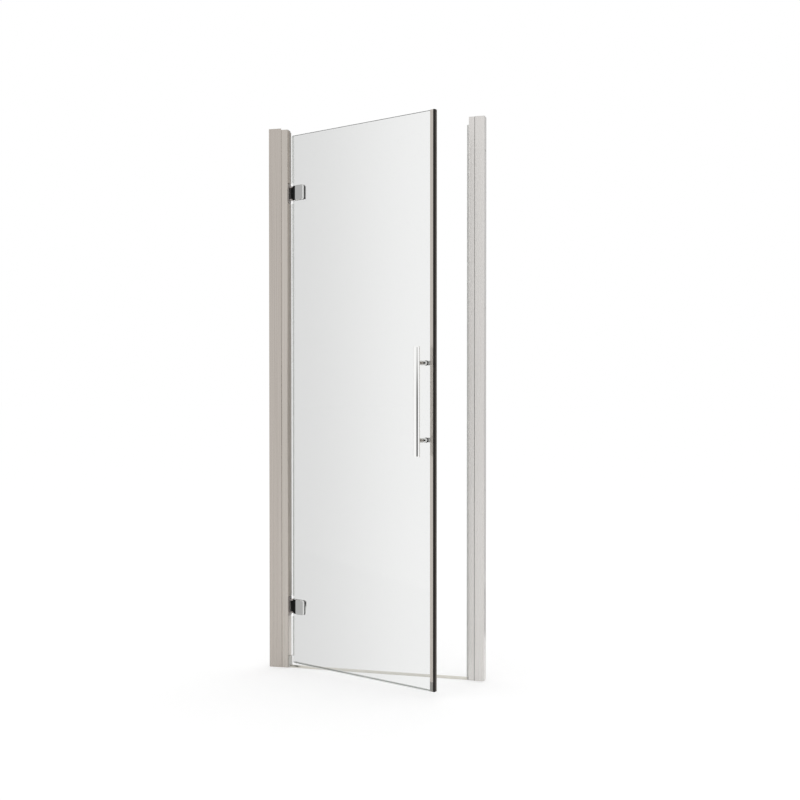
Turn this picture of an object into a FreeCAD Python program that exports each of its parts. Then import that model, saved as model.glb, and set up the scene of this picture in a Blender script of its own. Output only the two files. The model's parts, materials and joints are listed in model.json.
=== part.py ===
import FreeCAD, Part
import math
import os
import re
import Sketcher

# Hinged alcove shower door, standing ajar. X runs from the hinge wall to the strike wall, Y into the
# shower, Z up from the tray. The origin is on the tray, midway between the walls, under the closed glass.

sizes = {
    # whole frame
    "overall_width": 752,
    "channel_height": 1850,
    "door_open_angle": 22.9,
    # wall channels
    "channel_depth": 34,
    "channel_wall": 1.6,
    "channel_edge_radius": 1,
    "channel_lip_radius": 0.6,
    "hinge_channel_reach": 45,
    "strike_channel_reach": 32,
    "wall_hole_radius": 2.75,
    "wall_hole_margin": 110,
    "wall_hole_inner_spacing": 600,
    # sliding posts and their travel in the channels
    "slide_clearance": 0.3,
    "post_wall": 1.8,
    "post_opening_wall": 3,
    "post_corner_radius": 3,
    "hinge_post_reveal": 23,
    "hinge_post_insert": 22,
    "hinge_post_drop": 4.5,
    "hinge_travel_in": 17,
    "hinge_travel_out": 5,
    "strike_post_reveal": 21,
    "strike_post_insert": 17,
    "strike_post_drop": 0.5,
    "strike_travel_in": 10,
    "strike_travel_out": 3,
    "post_plug_depth": 10,
    "plug_clearance": 0.1,
    # trim strip on the hinge post, level with the hinge plates
    "post_trim_thickness": 3,
    "post_trim_radius": 0.8,
    "post_trim_end_gap": 1,
    "post_trim_drop": 6,
    # clamp screws that hold the width
    "clamp_screw_radius": 2,
    "clamp_screw_length": 12,
    "clamp_screw_setback": 8,
    "clamp_screw_margin": 160,
    "clamp_head_radius": 3.9,
    "clamp_head_height": 2.6,
    "clamp_head_rounding": 1.2,
    "clamp_slot_clearance": 0.4,
    "clamp_washer_radius": 5.5,
    "clamp_washer_thickness": 1,
    "clamp_washer_lift": 0.1,
    "screw_fit": 0.05,
    # strike seal
    "strike_carrier_depth": 7.5,
    "strike_carrier_width": 12,
    "strike_carrier_bottom": 10.5,
    # both magnetic seals
    "carrier_wall": 1.3,
    "carrier_corner_radius": 1,
    "core_clearance": 0.1,
    "tongue_width": 2.6,
    "tongue_depth": 2.2,
    "tongue_clearance": 0.1,
    # sill
    "sill_height": 7.5,
    "sill_depth": 24,
    "sill_front_height": 3.5,
    "sill_back_height": 2.5,
    "sill_ridge_width": 4,
    "sill_ridge_setback": 7,
    "sill_ridge_radius": 1.5,
    "sill_tunnel_setback": 5,
    "sill_tunnel_width": 8,
    "sill_tunnel_floor": 1.5,
    "sill_tunnel_height": 3,
    "sill_block_thickness": 5,
    "sill_block_radius": 2,
    "sill_hinge_block_height": 38,
    "sill_strike_block_height": 9.5,
    "sill_peg_length": 9,
    "sill_peg_clearance": 0.15,
    "block_screw_spacing": 13,
    "block_screw_drop": 7,
    # glass
    "glass_thickness": 6,
    "glass_bottom": 16.5,
    "glass_drop": 24.5,
    "glass_setback": 5,
    "closing_gap": 2,
    # hinges
    "axis_standoff": 10.5,
    "lower_hinge_rise": 194.5,
    "upper_hinge_drop": 197,
    "plate_thickness": 3,
    "plate_width": 22,
    "plate_height": 66,
    "plate_corner_radius": 3,
    "plate_screw_margin": 4.5,
    "ear_radius": 6.5,
    "ear_height": 5,
    "pin_radius": 3,
    "pin_fit": 0.02,
    "pin_running_fit": 0.05,
    "knuckle_height": 36,
    "cover_wall": 0.7,
    "cover_fit": 0.05,
    "cover_gap": 0.2,
    "bush_wall": 1.2,
    "bush_length": 9,
    "bush_flange_radius": 5.6,
    "bush_flange_thickness": 0.8,
    "bush_gap": 0.2,
    "leaf_start": 12,
    "leaf_length": 46.5,
    "leaf_height": 50,
    "leaf_thickness": 6,
    "leaf_corner_radius": 6,
    "leaf_inner_radius": 3,
    "leaf_bevel": 2,
    "neck_clearance": 0.5,
    "notch_reach": 16,
    "notch_clearance": 2,
    "gasket_thickness": 1,
    "gasket_inset": 1,
    "upstand_length": 10,
    "upstand_drop": 0.5,
    "upstand_fit": 0.1,
    "leaf_screw_setback": 20,
    "leaf_screw_spacing": 26,
    "leaf_screw_bite": 4.5,
    "leaf_screw_hole_radius": 6,
    # countersunk screws of the hinges and the sill block
    "flat_screw_radius": 2,
    "flat_screw_length": 11,
    "flat_head_radius": 3.6,
    "flat_head_height": 1.8,
    # clear seals
    "seal_leg_thickness": 1,
    "seal_web": 1.2,
    "seal_fit": 0.05,
    "fin_thickness": 0.8,
    "edge_seal_leg": 4,
    "edge_fin_end_gap": 0.7,
    "edge_seal_end_gap": 2,
    "bottom_seal_leg": 4,
    "bottom_seal_end_gap": 1,
    "bottom_fin_drop": 4.5,
    # free edge of the door
    "edge_profile_leg": 12,
    "edge_profile_thickness": 14,
    "edge_profile_wall": 1.6,
    "edge_profile_web": 3.6,
    "edge_profile_radius": 1,
    "edge_gasket_fit": 0.05,
    "edge_gasket_web": 1.2,
    "door_carrier_depth": 5,
    "corner_block_height": 30,
    # handle
    "handle_length": 343,
    "handle_radius": 10.5,
    "handle_wall": 1.5,
    "handle_cap_thickness": 3,
    "handle_cap_rounding": 1.5,
    "handle_spigot_length": 8,
    "handle_fit": 0.1,
    "handle_setback": 31.5,
    "handle_projection": 47,
    "handle_post_margin": 51,
    "handle_sink": 0.5,
    "standoff_radius": 7.5,
    "stud_radius": 3,
    "stud_fit": 0.1,
    "grommet_radius": 8,
    "grommet_flange": 1.2,
    "grommet_collar_radius": 5.8,
    "grommet_collar_gap": 0.2,
    "handle_hole_radius": 6,
    "knob_length": 16,
    "knob_rounding": 2,
    "knob_floor": 4,
    # how far a cut reaches past the face it leaves
    "overrun": 1,
}

# Places that follow from the sizes, each a formula in the second sheet.
places = {
    "half_depth": "channel_depth / 2",
    "post_half": "half_depth - channel_wall - slide_clearance",
    "hinge_post_tail": "hinge_channel_reach - hinge_post_insert",
    "hinge_post_face": "hinge_channel_reach + hinge_post_reveal",
    "hinge_post_height": "channel_height - hinge_post_drop",
    "post_trim_face": "hinge_post_face + post_trim_thickness",
    "post_trim_half": "post_half - post_corner_radius",
    "strike_post_tail": "strike_channel_reach - strike_post_insert",
    "strike_post_face": "strike_channel_reach + strike_post_reveal",
    "strike_post_height": "channel_height - strike_post_drop",
    "strike_seal_face": "strike_post_face + strike_carrier_depth",
    "strike_seal_wall": "tongue_depth + tongue_clearance + post_wall",
    "hinge_face_x": "hinge_post_face - overall_width / 2",
    "strike_face_x": "overall_width / 2 - strike_post_face",
    "hinge_axis_x": "hinge_face_x + axis_standoff",
    "door_reach": "overall_width / 2 - strike_seal_face - closing_gap - door_carrier_depth - hinge_axis_x",
    "glass_half": "glass_thickness / 2",
    "glass_top": "channel_height - glass_drop",
    "lower_hinge_z": "glass_bottom + lower_hinge_rise",
    "upper_hinge_z": "glass_top - upper_hinge_drop",
    "sill_half": "sill_depth / 2",
    "clamp_slot_radius": "clamp_screw_radius + clamp_slot_clearance",
    "knuckle_half": "knuckle_height / 2",
    "knuckle_radius": "ear_radius - cover_wall - cover_fit",
    "ear_inner": "knuckle_half + bush_flange_thickness + bush_gap",
    "ear_outer": "ear_inner + ear_height",
    "plate_face": "plate_thickness - axis_standoff",
    "plate_screw_place": "plate_height / 2 - plate_screw_margin",
    "leaf_end": "leaf_start + leaf_length",
    "upstand_end": "leaf_start + upstand_length",
    "front_leaf_start": "upstand_end + upstand_fit",
    "leaf_inner": "glass_half + gasket_thickness",
    "leaf_outer": "leaf_inner + leaf_thickness",
    "leaf_half": "leaf_height / 2",
    "leaf_screw_x": "leaf_end - leaf_screw_setback",
    "notch_half": "ear_outer + notch_clearance",
    "bush_radius": "pin_radius + pin_running_fit + bush_wall",
    "edge_half": "edge_profile_thickness / 2",
    "edge_start": "door_reach - edge_profile_leg",
    "edge_floor": "door_reach - edge_profile_web",
    "edge_pocket_half": "edge_half - edge_profile_wall",
    "glass_end": "edge_floor - edge_gasket_web - edge_gasket_fit",
    "block_top": "glass_bottom + corner_block_height",
    "seal_inner": "glass_half + seal_fit",
    "seal_outer": "seal_inner + seal_leg_thickness",
    "edge_seal_inner": "glass_setback - seal_fit",
    "edge_seal_tip": "edge_fin_end_gap + post_trim_thickness - axis_standoff",
    "edge_seal_end": "edge_seal_inner + edge_seal_leg",
    "bottom_seal_inner": "glass_bottom - seal_fit",
    "bottom_seal_foot": "bottom_seal_inner - seal_web",
    "handle_x": "door_reach - handle_setback",
    "handle_y": "-glass_half - handle_projection",
    "handle_z": "(glass_bottom + glass_top) / 2 - handle_sink",
    "handle_bottom": "handle_z - handle_length / 2",
    "handle_post_spacing": "handle_length - 2 * handle_post_margin",
    "standoff_base": "-glass_half - grommet_flange",
    "knob_base": "glass_half + grommet_flange",
}

doc = FreeCAD.newDocument("hinged_shower_door")
same_place = 1e-5
# a turn of no importance, which only gives a body's placement its upright axis
any_turn = 1


def fill_sheet(name, rows):
    """One row for each size: its name, and the value that the name stands for."""
    sheet = doc.addObject("Spreadsheet::Sheet", name)
    for row, (alias, content) in enumerate(rows.items(), 1):
        sheet.set(f"A{row}", alias)
        sheet.set(f"B{row}", content)
        sheet.setAlias(f"B{row}", alias)
    doc.recompute()
    return sheet


def cells(text, own=""):
    """An expression in plain size names, with each name's sheet put in front of it."""
    def with_sheet(found):
        word = found.group()
        sheet = "Sizes" if word in sizes else "Places"
        if word not in sizes and word not in places:
            raise KeyError(word)
        return word if sheet == own else f"{sheet}.{word}"
    return re.sub(r"[a-z]\w+", with_sheet, text)


size_sheet = fill_sheet("Sizes", {alias: str(number) for alias, number in sizes.items()})
fill_sheet("Places", {alias: "=" + cells(text, "Places") for alias, text in places.items()})


def value(text):
    return float(size_sheet.evalExpression(cells(text)))


# Where a body's own frame lies: its X and the way it is turned about the upright.
hinge_wall = ("-overall_width / 2", "0")
strike_wall = ("overall_width / 2", "180")
tray = ("0", "0")
hinge_axis = ("hinge_axis_x", "0")
door = ("hinge_axis_x", "-door_open_angle")


def new_body(label, frame):
    body = doc.addObject("PartDesign::Body", label)
    body.Label = label
    upright = FreeCAD.Vector(0, 0, 1)
    body.Placement = FreeCAD.Placement(FreeCAD.Vector(), FreeCAD.Rotation(upright, any_turn))
    body.setExpression("Placement.Base.x", cells(frame[0]))
    body.setExpression("Placement.Rotation.Angle", cells(frame[1]))
    return body


def new_sketch(body, role, along="0", across="0", up="0"):
    """A sketch on one of the body's planes, moved along the plane's normal and within the plane."""
    sketch = body.newObject("Sketcher::SketchObject", f"{body.Name}_sketch")
    support = next(item for item in body.Origin.OriginFeatures if item.Role == role)
    sketch.AttachmentSupport = [(support, "")]
    sketch.MapMode = "FlatFace"
    for axis, text in (("x", across), ("y", up), ("z", along)):
        sketch.setExpression(f"AttachmentOffset.Base.{axis}", cells(text))
    return sketch


def bind(sketch, constraint, text):
    number = sketch.addConstraint(constraint)
    sketch.setExpression(f"Constraints[{number}]", cells(text))


def pin_point(sketch, line, end, x, y):
    """Ties one point of a sketch to its two expressions, or to an axis where one is zero."""
    for kind, axis, text in (("DistanceX", -2, x), ("DistanceY", -1, y)):
        if abs(value(text)) < same_place:
            sketch.addConstraint(Sketcher.Constraint("PointOnObject", line, end, axis))
        else:
            bind(sketch, Sketcher.Constraint(kind, -1, 1, line, end, value(text)), text)


def spot(x, y):
    return FreeCAD.Vector(value(x), value(y), 0)


def outline(sketch, corners):
    """A closed run of straight lines through the corners."""
    first = sketch.GeometryCount
    spots = [spot(x, y) for x, y in corners]
    for here, there in zip(spots, spots[1:] + spots[:1]):
        sketch.addGeometry(Part.LineSegment(here, there), False)
    for index, (x, y) in enumerate(corners):
        following = (index + 1) % len(corners)
        sketch.addConstraint(Sketcher.Constraint("Coincident", first + index, 2, first + following, 1))
        pin_point(sketch, first + index, 1, x, y)


def rectangle(sketch, x_low, x_high, y_low, y_high):
    outline(sketch, [(x_low, y_low), (x_high, y_low), (x_high, y_high), (x_low, y_high)])


def circle(sketch, x, y, radius):
    ring = sketch.addGeometry(Part.Circle(spot(x, y), FreeCAD.Vector(0, 0, 1), value(radius)), False)
    pin_point(sketch, ring, 3, x, y)
    bind(sketch, Sketcher.Constraint("Radius", ring, value(radius)), radius)


def pad(body, sketch, length, reverse=False):
    feature = body.newObject("PartDesign::Pad", f"{body.Name}_pad")
    feature.Profile = sketch
    feature.Reversed = reverse
    feature.setExpression("Length", cells(length))
    doc.recompute()


def cut_checked(body, kind, sketch):
    """A cut, with the solid's volume from before it, for the test that the cut met the solid."""
    feature = body.newObject(f"PartDesign::{kind}", f"{body.Name}_{kind.lower()}")
    feature.Profile = sketch
    return feature, body.Shape.Volume


def test_cut(body, before):
    doc.recompute()
    if body.Shape.Volume > before - same_place:
        raise RuntimeError(f"{body.Label}: a cut misses the solid")


def pocket(body, sketch, depth, reverse=False):
    feature, before = cut_checked(body, "Pocket", sketch)
    feature.Reversed = reverse
    feature.setExpression("Length", cells(depth))
    test_cut(body, before)


def turn(body, sketch, axis="H_Axis"):
    feature = body.newObject("PartDesign::Revolution", f"{body.Name}_turn")
    feature.Profile = sketch
    feature.ReferenceAxis = (sketch, [axis])
    doc.recompute()


def groove(body, sketch, axis="H_Axis"):
    feature, before = cut_checked(body, "Groove", sketch)
    feature.ReferenceAxis = (sketch, [axis])
    test_cut(body, before)


def round_edges(body, radius, *where):
    """Fillets the edges that lie wholly at the given places, each a dictionary of axis and expression."""
    base = body.Tip
    names = []
    for number, edge in enumerate(base.Shape.Edges, 1):
        box = edge.BoundBox
        for place in where:
            misses = [abs(getattr(box, axis + end) - value(text))
                      for axis, text in place.items() for end in ("Min", "Max")]
            if max(misses) < same_place:
                names.append(f"Edge{number}")
    if not names:
        raise RuntimeError(f"{body.Label}: no edge to round")
    feature = body.newObject("PartDesign::Fillet", f"{body.Name}_fillet")
    feature.Base = (base, names)
    feature.setExpression("Radius", cells(radius))
    doc.recompute()


def clamp_heights(height):
    return "clamp_screw_margin", f"{height} / 2", f"{height} - clamp_screw_margin"


def long_slot(sketch, x_low, x_high, y, radius):
    """A slot with round ends about two centres on a level line."""
    normal = FreeCAD.Vector(0, 0, 1)
    quarter = math.pi / 2
    r = value(radius)
    low, high = spot(x_low, y), spot(x_high, y)
    rise = FreeCAD.Vector(0, r, 0)
    left = sketch.addGeometry(Part.ArcOfCircle(Part.Circle(low, normal, r), quarter, 3 * quarter), False)
    floor = sketch.addGeometry(Part.LineSegment(low - rise, high - rise), False)
    right = sketch.addGeometry(Part.ArcOfCircle(Part.Circle(high, normal, r), -quarter, quarter), False)
    roof = sketch.addGeometry(Part.LineSegment(high + rise, low + rise), False)
    chain = [left, floor, right, roof]
    for here, there in zip(chain, chain[1:] + chain[:1]):
        sketch.addConstraint(Sketcher.Constraint("Tangent", here, 2, there, 1))
    pin_point(sketch, left, 3, x_low, y)
    pin_point(sketch, right, 3, x_high, y)
    sketch.addConstraint(Sketcher.Constraint("Equal", left, right))
    bind(sketch, Sketcher.Constraint("Radius", left, r), radius)


def wall_channel(label, frame, reach, post_tail, travel_in, travel_out, rear):
    """A U profile on the wall, with screw holes in its web and a slot for each clamp screw at the rear."""
    body = new_body(label, frame)
    section = new_sketch(body, "XY_Plane")
    inner = "half_depth - channel_wall"
    outline(section, [("0", "-half_depth"), (reach, "-half_depth"), (reach, f"-({inner})"),
                      ("channel_wall", f"-({inner})"), ("channel_wall", inner), (reach, inner),
                      (reach, "half_depth"), ("0", "half_depth")])
    pad(body, section, "channel_height")
    for edge, radius in (("0", "channel_edge_radius"), (reach, "channel_lip_radius")):
        round_edges(body, radius, {"X": edge, "Y": "half_depth"}, {"X": edge, "Y": "-half_depth"})
    holes = new_sketch(body, "YZ_Plane", "-overrun")
    middle = "channel_height / 2"
    for height in ("wall_hole_margin", f"{middle} - wall_hole_inner_spacing / 2",
                   f"{middle} + wall_hole_inner_spacing / 2", "channel_height - wall_hole_margin"):
        circle(holes, "0", height, "wall_hole_radius")
    pocket(body, holes, "channel_wall + 2 * overrun", True)
    flange = "half_depth + overrun" if rear == "-" else "channel_wall + overrun - half_depth"
    screw = f"{post_tail} + clamp_screw_setback"
    for height in clamp_heights("channel_height"):
        ends = new_sketch(body, "XZ_Plane", flange)
        long_slot(ends, f"{screw} - {travel_in}", f"{screw} + {travel_out}", height, "clamp_slot_radius")
        pocket(body, ends, "channel_wall + 2 * overrun")


def box_post(label, frame, tail, face, opening_wall, height, rear, seal_groove):
    """A box profile that slides in a channel, thicker on the side that faces the opening."""
    body = new_body(label, frame)
    section = new_sketch(body, "XY_Plane")
    mouth = [(face, "-post_half"), (face, "post_half")]
    if seal_groove:
        floor = f"{face} - tongue_depth - tongue_clearance"
        half = "tongue_width / 2 + tongue_clearance"
        mouth[1:1] = [(face, f"-({half})"), (floor, f"-({half})"), (floor, half), (face, half)]
    outline(section, [(tail, "post_half"), (tail, "-post_half")] + mouth)
    rectangle(section, f"{tail} + post_wall", f"{face} - {opening_wall}",
              "post_wall - post_half", "post_half - post_wall")
    pad(body, section, height)
    round_edges(body, "post_corner_radius", {"X": face, "Y": "post_half"}, {"X": face, "Y": "-post_half"})
    back = "post_half + overrun" if rear == "-" else "post_wall + overrun - post_half"
    holes = new_sketch(body, "XZ_Plane", back)
    for level in clamp_heights("channel_height"):
        circle(holes, f"{tail} + clamp_screw_setback", level, "clamp_screw_radius + screw_fit")
    pocket(body, holes, "post_wall + 2 * overrun")
    return body


def screw_hole(post, face, wall, y, level):
    """A screw's hole through the post's wall on the side that faces the opening."""
    hole = new_sketch(post, "YZ_Plane", f"{face} + overrun")
    circle(hole, y, level, "flat_screw_radius + screw_fit")
    pocket(post, hole, f"{wall} + 2 * overrun")


def post_plug(label, frame, tail, face, opening_wall, height):
    body = new_body(label, frame)
    sketch = new_sketch(body, "XY_Plane", f"{height} - post_plug_depth")
    rectangle(sketch, f"{tail} + post_wall + plug_clearance", f"{face} - {opening_wall} - plug_clearance",
              "post_wall + plug_clearance - post_half", "post_half - post_wall - plug_clearance")
    pad(body, sketch, "post_plug_depth")


def clamp_screws(side, frame, tail, rear):
    """Pan head screws and washers on the channel's rear flange, in the posts' frame."""
    screws = new_body(f"{side}_clamp_screws", frame)
    washers = new_body(f"{side}_clamp_washers", frame)
    seat = "half_depth + clamp_washer_lift"
    cap = f"{seat} + clamp_washer_thickness"
    x = f"{tail} + clamp_screw_setback"
    for level in clamp_heights("channel_height"):
        shank = new_sketch(screws, "YZ_Plane", x, "0", level)
        head_top = f"{cap} + clamp_head_height"
        tip = f"{cap} - clamp_screw_length"
        outline(shank, [(f"{rear}({tip})", "0"), (f"{rear}({tip})", "clamp_screw_radius"),
                        (f"{rear}({cap})", "clamp_screw_radius"), (f"{rear}({cap})", "clamp_head_radius"),
                        (f"{rear}({head_top})", "clamp_head_radius"), (f"{rear}({head_top})", "0")])
        turn(screws, shank)
        ring = new_sketch(washers, "XZ_Plane", f"-({cap})" if rear == "" else seat, x, level)
        circle(ring, "0", "0", "clamp_washer_radius")
        circle(ring, "0", "0", "clamp_screw_radius + screw_fit")
        pad(washers, ring, "clamp_washer_thickness")
    round_edges(screws, "clamp_head_rounding", {"Y": f"{rear}({cap} + clamp_head_height)"})


def magnetic_seal(carrier, core, frame, root, depth, half, bottom):
    """A hollow strip with a tongue in its groove, and the magnet bar inside it."""
    body = new_body(carrier, frame)
    section = new_sketch(body, "XY_Plane", bottom)
    tip, tongue_tip = f"{root} + {depth}", f"{root} - tongue_depth"
    half_tongue = "tongue_width / 2"
    outline(section, [(root, f"-({half})"), (tip, f"-({half})"), (tip, half), (root, half),
                      (root, half_tongue), (tongue_tip, half_tongue), (tongue_tip, f"-{half_tongue}"),
                      (root, f"-{half_tongue}")])
    low, high = f"{root} + carrier_wall", f"{tip} - carrier_wall"
    rectangle(section, low, high, f"carrier_wall - ({half})", f"{half} - carrier_wall")
    pad(body, section, f"glass_top - ({bottom})")
    round_edges(body, "carrier_corner_radius", {"X": tip, "Y": half}, {"X": tip, "Y": f"-({half})"})
    bar = new_body(core, frame)
    inside = new_sketch(bar, "XY_Plane", bottom)
    room = "(carrier_wall + core_clearance)"
    rectangle(inside, f"{root} + {room}", f"{tip} - {room}", f"{room} - ({half})", f"{half} - {room}")
    pad(bar, inside, f"glass_top - ({bottom})")


def flat_screw(body, role, face, way, length, along="0", up="0"):
    """A countersunk screw along the plane's first axis, its head level with a face."""
    half = new_sketch(body, role, along, up=up)
    neck, tip = f"{face} {way} flat_head_height", f"{face} {way} ({length})"
    outline(half, [(face, "0"), (face, "flat_head_radius"), (neck, "flat_screw_radius"),
                   (tip, "flat_screw_radius"), (tip, "0")])
    turn(body, half)


def flat_hole(body, role, face, way, depth, along="0", up="0"):
    """The countersunk hole for such a screw, clear of it all round."""
    half = new_sketch(body, role, along, up=up)
    head, shank = "flat_head_radius + screw_fit", "flat_screw_radius + screw_fit"
    back = "-" if way == "+" else "+"
    start, neck = f"{face} {back} overrun", f"{face} {way} flat_head_height"
    tip = f"{face} {way} ({depth} + overrun)"
    outline(half, [(start, "0"), (start, head), (face, head), (neck, shank), (tip, shank), (tip, "0")])
    groove(body, half)


# Wall channels, posts and what clamps them.
wall_channel("hinge_wall_channel", hinge_wall, "hinge_channel_reach", "hinge_post_tail",
             "hinge_travel_in", "hinge_travel_out", "")
wall_channel("strike_wall_channel", strike_wall, "strike_channel_reach", "strike_post_tail",
             "strike_travel_in", "strike_travel_out", "-")
hinge_post = box_post("hinge_post", hinge_wall, "hinge_post_tail", "hinge_post_face", "post_opening_wall",
                      "hinge_post_height", "", False)
strike_post = box_post("strike_post", strike_wall, "strike_post_tail", "strike_post_face",
                       "strike_seal_wall", "strike_post_height", "-", True)
post_plug("hinge_post_plug", hinge_wall, "hinge_post_tail", "hinge_post_face", "post_opening_wall",
          "hinge_post_height")
post_plug("strike_post_plug", strike_wall, "strike_post_tail", "strike_post_face", "strike_seal_wall",
          "strike_post_height")
clamp_screws("hinge_side", hinge_wall, "hinge_post_tail", "")
clamp_screws("strike_side", strike_wall, "strike_post_tail", "-")
magnetic_seal("strike_seal_carrier", "strike_seal_magnet", strike_wall, "strike_post_face",
              "strike_carrier_depth", "strike_carrier_width / 2", "strike_carrier_bottom")

# Strip on the hinge post's inner face: one length between the hinge plates and one above them.
post_trim = new_body("hinge_post_trim", hinge_wall)
beside_plate = "plate_height / 2 + post_trim_end_gap"
for low, high in ((f"lower_hinge_z + {beside_plate}", f"upper_hinge_z - ({beside_plate})"),
                  (f"upper_hinge_z + {beside_plate}", "hinge_post_height - post_trim_drop")):
    trim_section = new_sketch(post_trim, "XY_Plane", low)
    rectangle(trim_section, "hinge_post_face", "post_trim_face", "-post_trim_half", "post_trim_half")
    pad(post_trim, trim_section, f"{high} - ({low})")
round_edges(post_trim, "post_trim_radius", {"X": "post_trim_face", "Y": "post_trim_half"},
            {"X": "post_trim_face", "Y": "-post_trim_half"})

# Sill: a low ramp with a tunnel for the pegs of its end blocks.
sill = new_body("sill_rail", tray)
sill_section = new_sketch(sill, "YZ_Plane", "hinge_face_x + sill_block_thickness")
ridge_front = "sill_ridge_setback - sill_half"
ridge_back = "sill_ridge_setback + sill_ridge_width - sill_half"
outline(sill_section, [("-sill_half", "0"), ("sill_half", "0"), ("sill_half", "sill_back_height"),
                       (ridge_back, "sill_height"), (ridge_front, "sill_height"),
                       ("-sill_half", "sill_front_height")])
tunnel_front = "sill_tunnel_setback - sill_half"
tunnel_back = "sill_tunnel_setback + sill_tunnel_width - sill_half"
rectangle(sill_section, tunnel_front, tunnel_back,
          "sill_tunnel_floor", "sill_tunnel_floor + sill_tunnel_height")
pad(sill, sill_section, "strike_face_x - hinge_face_x - 2 * sill_block_thickness")
round_edges(sill, "sill_ridge_radius",
            {"Y": ridge_back, "Z": "sill_height"}, {"Y": ridge_front, "Z": "sill_height"})


def sill_block(label, face, height, back_to_front):
    """An end block flat on a post, with a peg into the sill's tunnel."""
    body = new_body(label, tray)
    slab = new_sketch(body, "YZ_Plane", face)
    rectangle(slab, "-sill_half", "sill_half", "0", height)
    pad(body, slab, "sill_block_thickness", back_to_front)
    round_edges(body, "sill_block_radius",
                {"Y": "sill_half", "Z": height}, {"Y": "-sill_half", "Z": height})
    way = "-" if back_to_front else "+"
    peg = new_sketch(body, "YZ_Plane", f"{face} {way} sill_block_thickness")
    gap = "sill_peg_clearance"
    rectangle(peg, f"{tunnel_front} + {gap}", f"{tunnel_back} - {gap}",
              f"sill_tunnel_floor + {gap}", f"sill_tunnel_floor + sill_tunnel_height - {gap}")
    pad(body, peg, "sill_peg_length", back_to_front)
    return body


hinge_block = sill_block("sill_hinge_block", "hinge_face_x", "sill_hinge_block_height", False)
strike_block = sill_block("sill_strike_block", "strike_face_x", "sill_strike_block_height", True)

# Countersunk screws through the blocks into the posts: two above the sill, one behind its tunnel.
block_screws = new_body("sill_block_screws", tray)
top_screw = "sill_hinge_block_height - block_screw_drop"
for level in (top_screw, f"{top_screw} - block_screw_spacing"):
    inner_face = "hinge_face_x + sill_block_thickness"
    flat_hole(hinge_block, "XZ_Plane", inner_face, "-", "sill_block_thickness", up=level)
    flat_screw(block_screws, "XZ_Plane", inner_face, "-", "flat_screw_length", up=level)
    screw_hole(hinge_post, "hinge_post_face", "post_opening_wall", "0", level)
inner_face = "strike_face_x - sill_block_thickness"
beside_tunnel = f"-({tunnel_back} + sill_half) / 2"
low_screw = "sill_strike_block_height / 2"
flat_hole(strike_block, "XZ_Plane", inner_face, "+", "sill_block_thickness", beside_tunnel, low_screw)
flat_screw(block_screws, "XZ_Plane", inner_face, "+", "flat_screw_length", beside_tunnel, low_screw)
screw_hole(strike_post, "strike_post_face", "strike_seal_wall", beside_tunnel, low_screw)

# Hinges: wall plate with two ears, pin, bushes, rear leaf with the knuckle and its cover, front leaf,
# gaskets, screws.
hinge_levels = {"lower": "lower_hinge_z", "upper": "upper_hinge_z"}


def wall_plate(name, level):
    plate = new_body(f"{name}_hinge_wall_plate", hinge_axis)
    slab = new_sketch(plate, "YZ_Plane", "-axis_standoff", "0", level)
    rectangle(slab, "-plate_width / 2", "plate_width / 2", "-plate_height / 2", "plate_height / 2")
    pad(plate, slab, "plate_thickness")
    corners = [{"Y": f"{side}plate_width / 2", "Z": f"{level} {end} plate_height / 2"}
               for side in ("", "-") for end in "+-"]
    round_edges(plate, "plate_corner_radius", *corners)
    for low in ("ear_inner", "-ear_outer"):
        stem = new_sketch(plate, "XY_Plane", f"{level} + {low}")
        rectangle(stem, "plate_face", "0", "-ear_radius", "ear_radius")
        pad(plate, stem, "ear_height")
        eye = new_sketch(plate, "XY_Plane", f"{level} + {low}")
        circle(eye, "0", "0", "ear_radius")
        pad(plate, eye, "ear_height")
    bore = new_sketch(plate, "XY_Plane", f"{level} - ear_outer - overrun")
    circle(bore, "0", "0", "pin_radius + pin_fit")
    pocket(plate, bore, "2 * (ear_outer + overrun)", True)
    screws = new_body(f"{name}_hinge_wall_screws", hinge_axis)
    for way in "+-":
        height = f"{level} {way} plate_screw_place"
        flat_hole(plate, "XZ_Plane", "plate_face", "-", "plate_thickness", up=height)
        flat_screw(screws, "XZ_Plane", "plate_face", "-", "flat_screw_length", up=height)
        screw_hole(hinge_post, "hinge_post_face", "post_opening_wall", "0", height)


def hinge_pin(name, level):
    pin = new_body(f"{name}_hinge_pin", hinge_axis)
    end = new_sketch(pin, "XY_Plane", f"{level} - ear_outer")
    circle(end, "0", "0", "pin_radius")
    pad(pin, end, "2 * ear_outer")


def hinge_bushes(name, level):
    bushes = new_body(f"{name}_hinge_bushes", door)
    for way in "+-":
        half = new_sketch(bushes, "XZ_Plane", "0", "0", level)
        bore, outside = "pin_radius + pin_running_fit", "bush_radius"
        sleeve_end, flange_end = "knuckle_half - bush_length", "knuckle_half + bush_flange_thickness"
        outline(half, [(bore, f"{way}({sleeve_end})"), (outside, f"{way}({sleeve_end})"),
                       (outside, f"{way}knuckle_half"), ("bush_flange_radius", f"{way}knuckle_half"),
                       ("bush_flange_radius", f"{way}({flange_end})"), (bore, f"{way}({flange_end})")])
        turn(bushes, half, "V_Axis")


def knuckle_cover(name, level):
    """A dark clip round the knuckle, open where the neck leaves it."""
    cover = new_body(f"{name}_hinge_knuckle_cover", door)
    ring = new_sketch(cover, "XY_Plane", f"{level} - knuckle_half + cover_fit")
    circle(ring, "0", "0", "ear_radius")
    circle(ring, "0", "0", "knuckle_radius + cover_fit")
    pad(cover, ring, "knuckle_height - 2 * cover_fit")
    window = new_sketch(cover, "XY_Plane", f"{level} - knuckle_half - overrun")
    rectangle(window, "-cover_gap", "ear_radius + overrun", "-cover_gap", "ear_radius + overrun")
    pocket(cover, window, "knuckle_height + 2 * overrun", True)


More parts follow.
